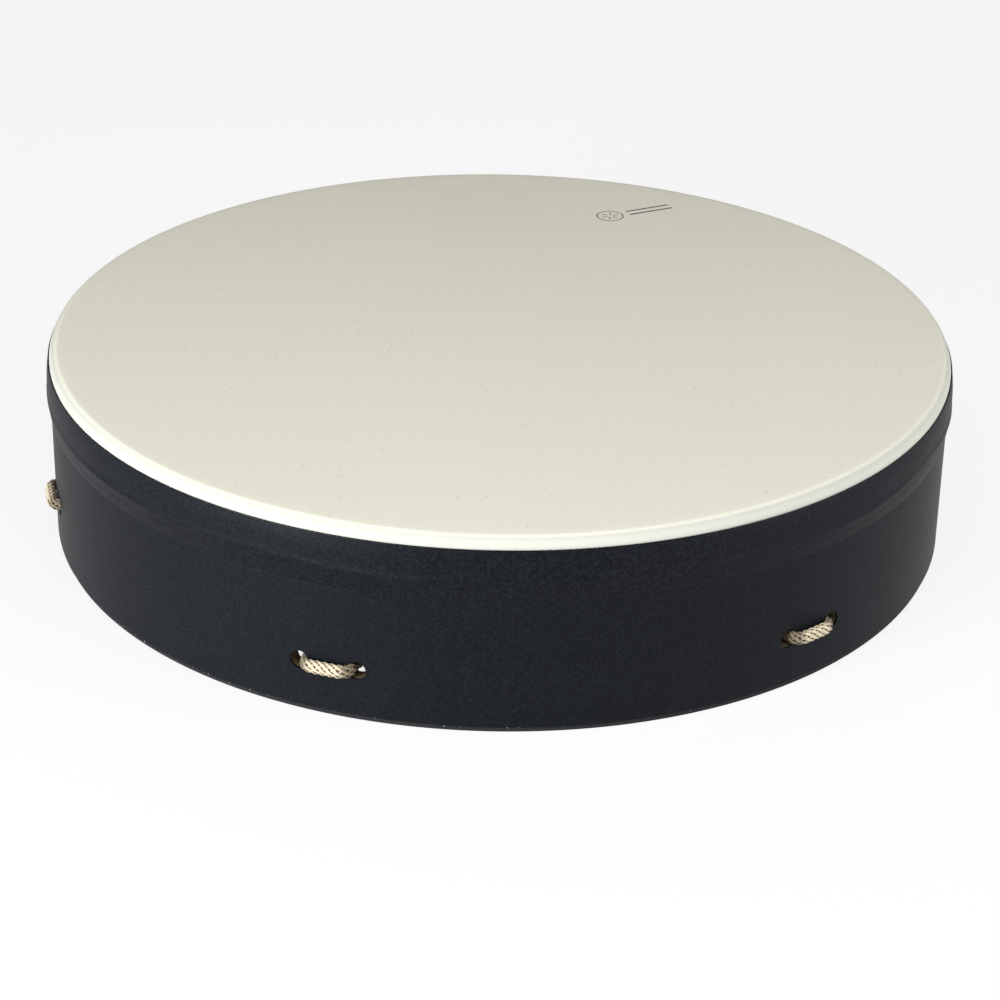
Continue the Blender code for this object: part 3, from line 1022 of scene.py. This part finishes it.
# %% The braid tree
BRAID_INPUTS = {
    "First strand": ("Int", 0),
    "Strands here": ("Int", 3),
    "Strands each way": ("Int", 6),
    "Direction": ("Float", 1.0),
    "Pitch": ("Float", 0.0192),
    "Radius": ("Float", 0.0024),
    "Wave": ("Float", 0.0003),
    "Strand width": ("Float", 0.0015),
    "Strand thickness": ("Float", 0.0006),
    "Press": ("Float", 0.36),
    "Finish": ("Material", None),
}
HEXAGON_WIDTH = math.sin(math.radians(60.0))


def named_vector(tree, name):
    made = node(tree, "GeometryNodeInputNamedAttribute", {"Name": name}, data_type="FLOAT_VECTOR")
    return made.outputs["Attribute"]


def pressed_offset(tree, offset, press):
    """An offset from the cord's middle, made smaller along the hug direction."""
    hug = named_vector(tree, "hug")
    along_hug = vector_node(tree, "DOT_PRODUCT", offset, hug)
    amount = times(tree, times(tree, along_hug, press), -1.0)
    return vector_node(tree, "ADD", offset, vector_node(tree, "SCALE", hug, scale=amount))


def winding_angle(tree, entry, along, index):
    """How far round the cord a strand is, at a length along it."""
    turns = math_node(tree, "DIVIDE", along, entry.outputs["Pitch"])
    share = math_node(tree, "DIVIDE", index, entry.outputs["Strands each way"])
    turned_share = plus(tree, times(tree, turns, entry.outputs["Direction"]), share)
    return turns, times(tree, turned_share, 2.0 * math.pi)


def winding_distance(tree, entry, turns):
    """How far from the cord's middle a strand is, as it goes over and under the other strands."""
    crossings = times(tree, turns, entry.outputs["Strands each way"])
    cosine = math_node(tree, "COSINE", times(tree, crossings, 2.0 * math.pi))
    wave = times(tree, times(tree, cosine, entry.outputs["Wave"]), entry.outputs["Direction"])
    return plus(tree, entry.outputs["Radius"], wave)


def strand_profile(tree, entry):
    """A flat six-sided section, with the place across the strand stored on its points."""
    circle = node(tree, "GeometryNodeCurvePrimitiveCircle", {"Resolution": 6, "Radius": 0.5}, mode="RADIUS")
    position = tree.nodes.new("GeometryNodeInputPosition").outputs["Position"]
    marked = store(tree, circle.outputs["Curve"], "across", "FLOAT", split_xyz(tree, position)["Y"])
    size = node(tree, "ShaderNodeCombineXYZ", {"Z": 1.0})
    wire(tree, entry.outputs["Strand thickness"], size.inputs["X"])
    wire(tree, math_node(tree, "DIVIDE", entry.outputs["Strand width"], HEXAGON_WIDTH), size.inputs["Y"])
    profile = tree.nodes.new("GeometryNodeTransform")
    wire(tree, marked, profile.inputs["Geometry"])
    wire(tree, size.outputs["Vector"], profile.inputs["Scale"])
    return profile.outputs["Geometry"]


def make_braid_tree():
    tree, entry, leave = geometry_group("braid", BRAID_INPUTS)
    path = tree.nodes.new("GeometryNodeMeshToCurve")
    wire(tree, entry.outputs["Geometry"], path.inputs["Mesh"])
    copies = node(tree, "GeometryNodeDuplicateElements", domain="SPLINE")
    wire(tree, path.outputs["Curve"], copies.inputs["Geometry"])
    wire(tree, entry.outputs["Strands here"], copies.inputs["Amount"])
    index = plus(tree, copies.outputs["Duplicate Index"], entry.outputs["First strand"])
    along = tree.nodes.new("GeometryNodeSplineParameter").outputs["Length"]
    turns, angle = winding_angle(tree, entry, along, index)

    turn = node(tree, "ShaderNodeVectorRotate", rotation_type="AXIS_ANGLE")
    wire(tree, tree.nodes.new("GeometryNodeInputNormal").outputs["Normal"], turn.inputs["Vector"])
    wire(tree, tree.nodes.new("GeometryNodeInputTangent").outputs["Tangent"], turn.inputs["Axis"])
    wire(tree, angle, turn.inputs["Angle"])
    spoke = turn.outputs["Vector"]
    offset = vector_node(tree, "SCALE", spoke, scale=winding_distance(tree, entry, turns))
    settled = pressed_offset(tree, offset, entry.outputs["Press"])

    kept = node(tree, "GeometryNodeCaptureAttribute", domain="POINT")
    for kind, label in (("VECTOR", "Spoke"), ("VECTOR", "Move"), ("FLOAT", "Along"), ("FLOAT", "Index")):
        kept.capture_items.new(kind, label)
    wire(tree, copies.outputs["Geometry"], kept.inputs["Geometry"])
    for label, value in (("Spoke", spoke), ("Move", settled), ("Along", along), ("Index", index)):
        wire(tree, value, kept.inputs[label])
    moved = tree.nodes.new("GeometryNodeSetPosition")
    wire(tree, kept.outputs["Geometry"], moved.inputs["Geometry"])
    wire(tree, kept.outputs["Move"], moved.inputs["Offset"])
    faced = tree.nodes.new("GeometryNodeSetCurveNormal")
    faced.mode = "FREE"
    wire(tree, moved.outputs["Geometry"], faced.inputs["Curve"])
    wire(tree, kept.outputs["Spoke"], faced.inputs["Normal"])
    strands = store(tree, faced.outputs["Curve"], "along", "FLOAT", kept.outputs["Along"])
    strands = store(tree, strands, "strand", "FLOAT", kept.outputs["Index"])
    tubes = node(tree, "GeometryNodeCurveToMesh", {"Fill Caps": True})
    wire(tree, strands, tubes.inputs["Curve"])
    wire(tree, strand_profile(tree, entry), tubes.inputs["Profile Curve"])
    finish_here(tree, tubes.outputs["Mesh"], entry, leave)
    return tree


def finish_here(tree, geometry, entry, leave):
    """The end of every tree: real geometry, shaded smooth, in the material that the tree was given."""
    real = tree.nodes.new("GeometryNodeRealizeInstances")
    shade = node(tree, "GeometryNodeSetShadeSmooth", {"Shade Smooth": True})
    paint = tree.nodes.new("GeometryNodeSetMaterial")
    wire(tree, geometry, real.inputs["Geometry"])
    wire(tree, real.outputs["Geometry"], shade.inputs["Geometry"])
    wire(tree, shade.outputs["Geometry"], paint.inputs["Geometry"])
    wire(tree, entry.outputs["Finish"], paint.inputs["Material"])
    wire(tree, paint.outputs["Geometry"], leave.inputs["Geometry"])


BRAID = make_braid_tree()

# %% [markdown]
# ### Cord finish
# Each strand is a flat bundle of filaments, cream with a little tan, so its colour runs in thin streaks
# along its length. The streaks follow two attributes that the tree stored on the strands: the distance
# along and across. The strands' sides are darkened as painted shade, where they pass under their
# neighbours. Where the cord is drawn round a hole's edge, which the hug attribute tells, it is darkened
# as painted shade too.

# %% Yarn material
def attribute(tree, name):
    made = node(tree, "ShaderNodeAttribute", attribute_name=name, attribute_type="GEOMETRY")
    return made.outputs["Fac"]


def make_yarn_finish(name, light, dark):
    """Filaments running along a strand, between a light and a dark colour, with painted shade on the strands'
    sides and where the cord is drawn round a hole's edge.
    """
    finish, shader = principled(name)
    tree = finish.node_tree
    along = attribute(tree, "along")
    across = attribute(tree, "across")
    strand = attribute(tree, "strand")
    stripes = node(tree, "ShaderNodeCombineXYZ")
    wire(tree, times(tree, along, 260.0), stripes.inputs["X"])
    wire(tree, times(tree, across, 7.0), stripes.inputs["Y"])
    wire(tree, times(tree, strand, 3.7), stripes.inputs["Z"])
    streak = node(tree, "ShaderNodeTexNoise", {"Scale": 1.0, "Detail": 3.0, "Roughness": 0.6})
    wire(tree, stripes.outputs["Vector"], streak.inputs["Vector"])
    cloud = cloudy(tree, 160.0)
    base = tone(tree, light, remap(tree, streak.outputs["Fac"], 0.40, 0.72, 0.0, 0.55), dark)
    base = tone(tree, base, remap(tree, cloud, -0.1, 0.45, 0.0, 0.4), dark)
    # painted shade: each strand darkens towards its sides, where it passes under its neighbours
    edge = math_node(tree, "ABSOLUTE", across)
    base = tone(tree, base, remap(tree, edge, 0.30, 0.433, 0.0, 0.55), (0.16, 0.10, 0.055))
    # painted shade: the cord darkens where it is drawn hardest round a hole's edge and turns into the hole
    hug = node(tree, "ShaderNodeAttribute", attribute_name="hug", attribute_type="GEOMETRY")
    drawn = vector_node(tree, "LENGTH", hug.outputs["Vector"])
    base = tone(tree, base, remap(tree, drawn, 0.72, 1.0, 0.0, 0.80), (0.060, 0.044, 0.026))
    paint(tree, shader, base, 0.75, specular=0.2)
    lift(tree, shader, streak.outputs["Fac"], 0.08 * MM, 0.6)
    return finish


cord_finish = make_yarn_finish("braided_cord", (0.56, 0.475, 0.350), (0.30, 0.225, 0.145))
# painted shade: the core is a real tube, but its near-black colour stands for the shade in the gaps between
# the strands
core_gap_shade_finish = two_toned("cord_core_gap_shade", 900.0, (0.045, 0.026, 0.014), (0.085, 0.052, 0.03), 0.9)[0]

# %% The cord's strands
PIECE_STRANDS = ((0, 3), (3, 3))
STRAND_KINDS = (
    {"hand": "right", "Direction": 1.0, "Radius": 2.42 * MM, "Wave": 0.22 * MM, "Width": 1.46 * MM},
    {"hand": "left", "Direction": -1.0, "Radius": 2.18 * MM, "Wave": 0.38 * MM, "Width": 0.85 * MM},
)
cord_line = path_object("cord_line", cord_path, [hug_at(point) for point in cord_path])
cord_pieces = []
for kind in STRAND_KINDS:
    for part, (first, count) in enumerate(PIECE_STRANDS):
        strands = made_by(
            f"cord_strands_{kind['hand']}_{part + 1}",
            cord_line,
            BRAID,
            cord_finish,
            First_strand=first,
            Strands_here=count,
            Direction=kind["Direction"],
            Radius=kind["Radius"],
            Wave=kind["Wave"],
            Strand_width=kind["Width"],
        )
        cord_pieces.append(strands)
        print(strands.name, "triangles:", triangles(strands))


# %% The cord's core, near black as painted shade for the gaps between the strands
def make_core_tree():
    """A plain tube along the path, pressed like the strands round it."""
    tree, entry, leave = geometry_group(
        "cord_core_gap_shade", {"Radius": ("Float", 0.0017), "Press": ("Float", 0.36), "Finish": ("Material", None)}
    )
    path = tree.nodes.new("GeometryNodeMeshToCurve")
    wire(tree, entry.outputs["Geometry"], path.inputs["Mesh"])
    middle = tree.nodes.new("GeometryNodeInputPosition").outputs["Position"]
    marked = store(tree, path.outputs["Curve"], "middle", "FLOAT_VECTOR", middle)
    circle = node(tree, "GeometryNodeCurvePrimitiveCircle", {"Resolution": 8}, mode="RADIUS")
    wire(tree, entry.outputs["Radius"], circle.inputs["Radius"])
    tube = node(tree, "GeometryNodeCurveToMesh", {"Fill Caps": True})
    wire(tree, marked, tube.inputs["Curve"])
    wire(tree, circle.outputs["Curve"], tube.inputs["Profile Curve"])
    place_now = tree.nodes.new("GeometryNodeInputPosition").outputs["Position"]
    offset = vector_node(tree, "SUBTRACT", place_now, named_vector(tree, "middle"))
    squeezed = pressed_offset(tree, offset, entry.outputs["Press"])
    settled = vector_node(tree, "ADD", named_vector(tree, "middle"), squeezed)
    pressed = tree.nodes.new("GeometryNodeSetPosition")
    wire(tree, tube.outputs["Mesh"], pressed.inputs["Geometry"])
    wire(tree, settled, pressed.inputs["Position"])
    finish_here(tree, pressed.outputs["Geometry"], entry, leave)
    return tree


cord_pieces.append(made_by("cord_core_gap_shade", cord_line, make_core_tree(), core_gap_shade_finish))
for piece in cord_pieces:
    settle(piece, "lacing_cord", slot="braided_cord")
bpy.data.objects.remove(cord_line)

# %% [markdown]
# ## Seizings
# The cord's two ends are laid back along their own legs and bound there with a short winding of waxed
# twine. Twine is only two plies twisted together, so the same braid tree makes it: two strands, one
# direction, and no wave.

# %% Twine wound round both parts of the cord
TWINE_PLY = 0.60 * MM
TWINE_PITCH = 1.16 * MM
TWINE_CLEARANCE = 0.75 * MM
TWINE_STEPS = 64
TWINE_TWIST = 2.6 * MM
TWINE_SPREAD = 0.26 * MM


def oval_point(share, half_gap, radius):
    """A point (across, height) on an upright oval of two half circles, at a share of its way round."""
    half_circle = math.pi * radius
    way = (share % 1.0) * (2.0 * half_circle + 4.0 * half_gap)
    if way < 2.0 * half_gap:
        return radius, way - half_gap
    way -= 2.0 * half_gap
    if way < half_circle:
        return radius * math.cos(way / radius), half_gap + radius * math.sin(way / radius)
    way -= half_circle
    if way < 2.0 * half_gap:
        return -radius, half_gap - way
    way -= 2.0 * half_gap
    return -radius * math.cos(way / radius), -half_gap - radius * math.sin(way / radius)


def winding_path(start, end, height_offset):
    """The twine's path: a helix of ovals along a leg, round the leg and the tail laid against it."""
    forward = (end - start).normalized()
    sideways = forward.cross(Vector((0.0, 0.0, 1.0)))
    middle = Vector((0.0, 0.0, 0.5 * height_offset))
    turns = (SEIZING_LENGTH - TWINE_PITCH) / TWINE_PITCH
    points = []
    for step in range(int(turns * TWINE_STEPS) + 1):
        turn = step / TWINE_STEPS
        across, height = oval_point(turn, 0.5 * abs(height_offset), CORD_RADIUS + TWINE_CLEARANCE)
        station = start + forward * (SEIZING_START + 0.5 * TWINE_PITCH + turn * TWINE_PITCH)
        points.append(station + middle + sideways * across + Vector((0.0, 0.0, height)))
    return points


twine_finish = make_yarn_finish("waxed_twine", (0.30, 0.19, 0.11), (0.17, 0.10, 0.055))
cord_lap = 2.0 * CORD_RADIUS + GAP
first_leg = (end_turn(1.0)[-1], outer_loop(0)[0], cord_lap)
last_leg = (end_turn(-1.0)[0], outer_loop(PAIRS - 1)[-1], -cord_lap)
for number, leg in enumerate((first_leg, last_leg), 1):
    twine_line = path_object("twine_line", winding_path(*leg))
    twine = made_by(
        f"twine_winding_{number}",
        twine_line,
        BRAID,
        twine_finish,
        Strands_here=2,
        Strands_each_way=2,
        Pitch=TWINE_TWIST,
        Radius=TWINE_SPREAD,
        Wave=0.0,
        Strand_width=TWINE_PLY,
        Strand_thickness=TWINE_PLY,
        Press=0.0,
    )
    settle(twine, f"end_seizing_{number}", slot="waxed_twine")
    bpy.data.objects.remove(twine_line)
    print(twine.name, "triangles:", triangles(twine))

# %% [markdown]
# ## Centre ring
# A ring bent from round bar, its two ends butted and welded, and brushed along its length. The weld is a
# low bead with a heat tint either side of it. It is turned like the shell, with the bar made thicker
# where the bead is.

# %% Ring material
WELD_AZIMUTH = pair_azimuth(3)
SCRATCHES_PER_METRE = 4200.0


def make_ring_finish():
    finish, shader = principled("ring_steel")
    tree = finish.node_tree
    turn = node(tree, "ShaderNodeVectorRotate", {"Angle": -WELD_AZIMUTH}, rotation_type="Z_AXIS")
    wire(tree, object_place(tree), turn.inputs["Vector"])
    parts = split_xyz(tree, turn.outputs["Vector"])
    around = math_node(tree, "ARCTAN2", parts["X"], times(tree, parts["Y"], -1.0))
    out = distance_from_origin(tree, parts["X"], parts["Y"])
    grain_place = node(tree, "ShaderNodeCombineXYZ")
    wire(tree, times(tree, around, 3.0), grain_place.inputs["X"])
    wire(tree, times(tree, out, SCRATCHES_PER_METRE), grain_place.inputs["Y"])
    wire(tree, times(tree, parts["Z"], SCRATCHES_PER_METRE), grain_place.inputs["Z"])
    scratches = node(tree, "ShaderNodeTexNoise", {"Scale": 1.0, "Detail": 4.0, "Roughness": 0.7})
    wire(tree, grain_place.outputs["Vector"], scratches.inputs["Vector"])
    from_weld = times(tree, math_node(tree, "ABSOLUTE", around), RING_RADIUS)
    straw = remap(tree, from_weld, 3.0 * MM, 9.0 * MM, 0.75, 0.0)
    blue = remap(tree, from_weld, 2.0 * MM, 4.0 * MM, 0.6, 0.0)
    scratched = remap(tree, scratches.outputs["Fac"], 0.35, 0.7, 0.0, 0.5)
    base = tone(tree, (0.50, 0.50, 0.51), scratched, (0.34, 0.34, 0.35))
    base = tone(tree, base, straw, (0.42, 0.31, 0.17))
    base = tone(tree, base, blue, (0.13, 0.15, 0.24))
    paint(tree, shader, base, remap(tree, scratches.outputs["Fac"], 0.3, 0.7, 0.26, 0.42), metallic=1.0)
    lift(tree, shader, scratches.outputs["Fac"], 0.03 * MM, 0.5)
    return finish


# %% Ring mesh
WELD_HALF_LENGTH = 2.4 * MM
WELD_RISE = 0.42 * MM
weld_wave = waves(61, 6, 60, 140)


def ring_wander(azimuth, radius, height):
    """The bar, thicker at the weld's bead."""
    away = abs(wrapped(azimuth - WELD_AZIMUTH)) * RING_RADIUS
    bead = max(0.0, 1.0 - (away / WELD_HALF_LENGTH) ** 2)
    grow = 1.0 + (WELD_RISE / ROD_RADIUS) * math.sqrt(bead) * (1.0 + 0.12 * weld_wave(azimuth))
    return RING_RADIUS + (radius - RING_RADIUS) * grow, CORD_HEIGHT + (height - CORD_HEIGHT) * grow


ring_section = arc((RING_RADIUS, CORD_HEIGHT), ROD_RADIUS, 0, -360, 32)[:-1]
ring = turned("centre_ring_bar", ring_section, make_ring_finish(), segments=540, wander=ring_wander)
settle(ring, "centre_ring", slot="ring_steel")
print("ring faces:", len(ring.data.polygons))

# %% [markdown]
# ## Damping layer and hoop
# Under the head lies a thin non-woven felt that takes the ring out of its sound. It shows only from
# below: a pale, hairy sheet. The hoop that holds the head's skirt is a strip of plain steel, and the edge
# band hides all of it.

# %% Felt
def make_felt_finish():
    finish, shader = principled("damping_felt")
    tree = finish.node_tree
    cloud = cloudy(tree, 60.0)
    hairs = []
    for number, (sideways, lengthways) in enumerate(((260.0, 1500.0), (1500.0, 260.0))):
        stretch = node(tree, "ShaderNodeMapping")
        stretch.inputs["Rotation"].default_value = (0.0, 0.0, 0.6 + 0.35 * number)
        stretch.inputs["Scale"].default_value = (sideways, lengthways, 400.0)
        wire(tree, object_place(tree), stretch.inputs["Vector"])
        curls = {"Scale": 1.0, "Detail": 3.0, "Roughness": 0.6, "Distortion": 0.8}
        hair = node(tree, "ShaderNodeTexNoise", curls)
        wire(tree, stretch.outputs["Vector"], hair.inputs["Vector"])
        hairs.append(hair.outputs["Fac"])
    fuzz = math_node(tree, "MAXIMUM", *hairs)
    base = tone(tree, (0.60, 0.58, 0.52), remap(tree, cloud, -0.3, 0.4), (0.52, 0.50, 0.44))
    base = tone(tree, base, remap(tree, fuzz, 0.55, 0.80, 0.0, 0.6), (0.74, 0.72, 0.66))
    paint(tree, shader, base, 0.95, specular=0.1)
    lift(tree, shader, fuzz, 0.25 * MM, 0.8)
    return finish


felt_low, felt_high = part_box("damping_layer")
FELT_ROUND = 0.2 * MM
felt_wave = waves(71, 8, 5, 60)


def felt_wander(azimuth, radius, height):
    edge = radius > felt_high.x - 2.0 * MM
    return radius - 0.25 * MM * (1.0 + felt_wave(azimuth)) * edge * 0.5, height


felt_section = (
    [(0.0, felt_high.z), (0.5 * felt_high.x, felt_high.z)]
    + [(felt_high.x - FELT_ROUND, felt_high.z), (felt_high.x, felt_high.z - FELT_ROUND)]
    + [(felt_high.x, felt_low.z + FELT_ROUND), (felt_high.x - FELT_ROUND, felt_low.z)]
    + [(0.5 * felt_high.x, felt_low.z), (0.0, felt_low.z)]
)
felt = turned("damping_felt_disc", felt_section, make_felt_finish(), wander=felt_wander)
settle(felt, "damping_layer", slot="damping_felt")

# %% Hoop
hoop_finish, hoop_shader, hoop_mask = two_toned("hoop_steel", 300.0, (0.45, 0.45, 0.46), (0.34, 0.34, 0.36))
hoop_tree = hoop_finish.node_tree
wire(hoop_tree, remap(hoop_tree, hoop_mask, 0.0, 1.0, 0.3, 0.5), hoop_shader.inputs["Roughness"])
hoop_shader.inputs["Metallic"].default_value = 1.0
hoop_low, hoop_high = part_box("tension_hoop")
HOOP_THICKNESS = 0.5 * MM
HOOP_ROUND = 0.15 * MM
hoop_inner = hoop_high.x - HOOP_THICKNESS
hoop_section = [
    (hoop_inner + HOOP_ROUND, hoop_high.z),
    (hoop_high.x - HOOP_ROUND, hoop_high.z),
    (hoop_high.x, hoop_high.z - HOOP_ROUND),
    (hoop_high.x, hoop_low.z + HOOP_ROUND),
    (hoop_high.x - HOOP_ROUND, hoop_low.z),
    (hoop_inner + HOOP_ROUND, hoop_low.z),
    (hoop_inner, hoop_low.z + HOOP_ROUND),
    (hoop_inner, hoop_high.z - HOOP_ROUND),
]
hoop = settle(turned("tension_hoop_strip", hoop_section, hoop_finish), "tension_hoop", slot="hoop_steel")
print("felt and hoop faces:", len(felt.data.polygons), len(hoop.data.polygons))

# %% [markdown]
# ## Glue flecks
# Where the covering ends above the shell's foot, a little of the glue has squeezed out and dried in small
# pale beads. A tree scatters them: points at random places round the foot's line, a tiny round bead on
# each, each its own size.

# %% Scatter the flecks
def make_fleck_tree():
    tree, entry, leave = geometry_group(
        "glue_flecks",
        {
            "Flecks": ("Int", 90),
            "Radius": ("Float", 0.2),
            "Height": ("Float", 0.0),
            "Scatter": ("Float", 0.0),
            "Smallest": ("Float", 0.0001),
            "Largest": ("Float", 0.0003),
            "Seed": ("Int", 0),
            "Finish": ("Material", None),
        },
    )
    points = tree.nodes.new("GeometryNodePoints")
    wire(tree, entry.outputs["Flecks"], points.inputs["Count"])
    azimuth = random_value(tree, entry, 0, 0.0, 2.0 * math.pi)
    spread = times(tree, random_value(tree, entry, 1, -1.0, 1.0), entry.outputs["Scatter"])
    height = plus(tree, entry.outputs["Height"], spread)
    spot = node(tree, "ShaderNodeCombineXYZ")
    wire(tree, times(tree, math_node(tree, "COSINE", azimuth), entry.outputs["Radius"]), spot.inputs["X"])
    wire(tree, times(tree, math_node(tree, "SINE", azimuth), entry.outputs["Radius"]), spot.inputs["Y"])
    wire(tree, height, spot.inputs["Z"])
    wire(tree, spot.outputs["Vector"], points.inputs["Position"])
    bead = node(tree, "GeometryNodeMeshIcoSphere", {"Radius": 1.0, "Subdivisions": 2})
    many = tree.nodes.new("GeometryNodeInstanceOnPoints")
    wire(tree, points.outputs["Geometry"], many.inputs["Points"])
    wire(tree, bead.outputs["Mesh"], many.inputs["Instance"])
    chance = math_node(tree, "POWER", random_value(tree, entry, 2, 0.0, 1.0), 2.5)
    span = minus(tree, entry.outputs["Largest"], entry.outputs["Smallest"])
    size = plus(tree, entry.outputs["Smallest"], times(tree, chance, span))
    wire(tree, size, many.inputs["Scale"])
    finish_here(tree, many.outputs["Instances"], entry, leave)
    return tree


def random_value(tree, entry, offset, low, high):
    """A random float for each point, different for each offset."""
    made = node(tree, "FunctionNodeRandomValue", data_type="FLOAT")
    made.inputs[2].default_value = low
    made.inputs[3].default_value = high
    wire(tree, plus(tree, entry.outputs["Seed"], 17.0 * offset), made.inputs["Seed"])
    return made.outputs[1]


glue_finish = two_toned("dried_glue", 500.0, (0.30, 0.30, 0.30), (0.16, 0.16, 0.17), 0.35)[0]
fleck_source = path_object("fleck_source", [Vector((0.0, 0.0, 0.0)), Vector((0.0, 0.0, MM))])
flecks = made_by(
    "glue_flecks",
    fleck_source,
    make_fleck_tree(),
    glue_finish,
    Flecks=110,
    Radius=cover_outer - 0.06 * MM,
    Height=cover_foot + 0.05 * MM,
    Scatter=0.22 * MM,
    Smallest=0.07 * MM,
    Largest=0.26 * MM,
    Seed=5,
)
bpy.data.objects.remove(fleck_source)
settle(flecks, slot="black_covering")
print("fleck triangles:", len(flecks.data.polygons))
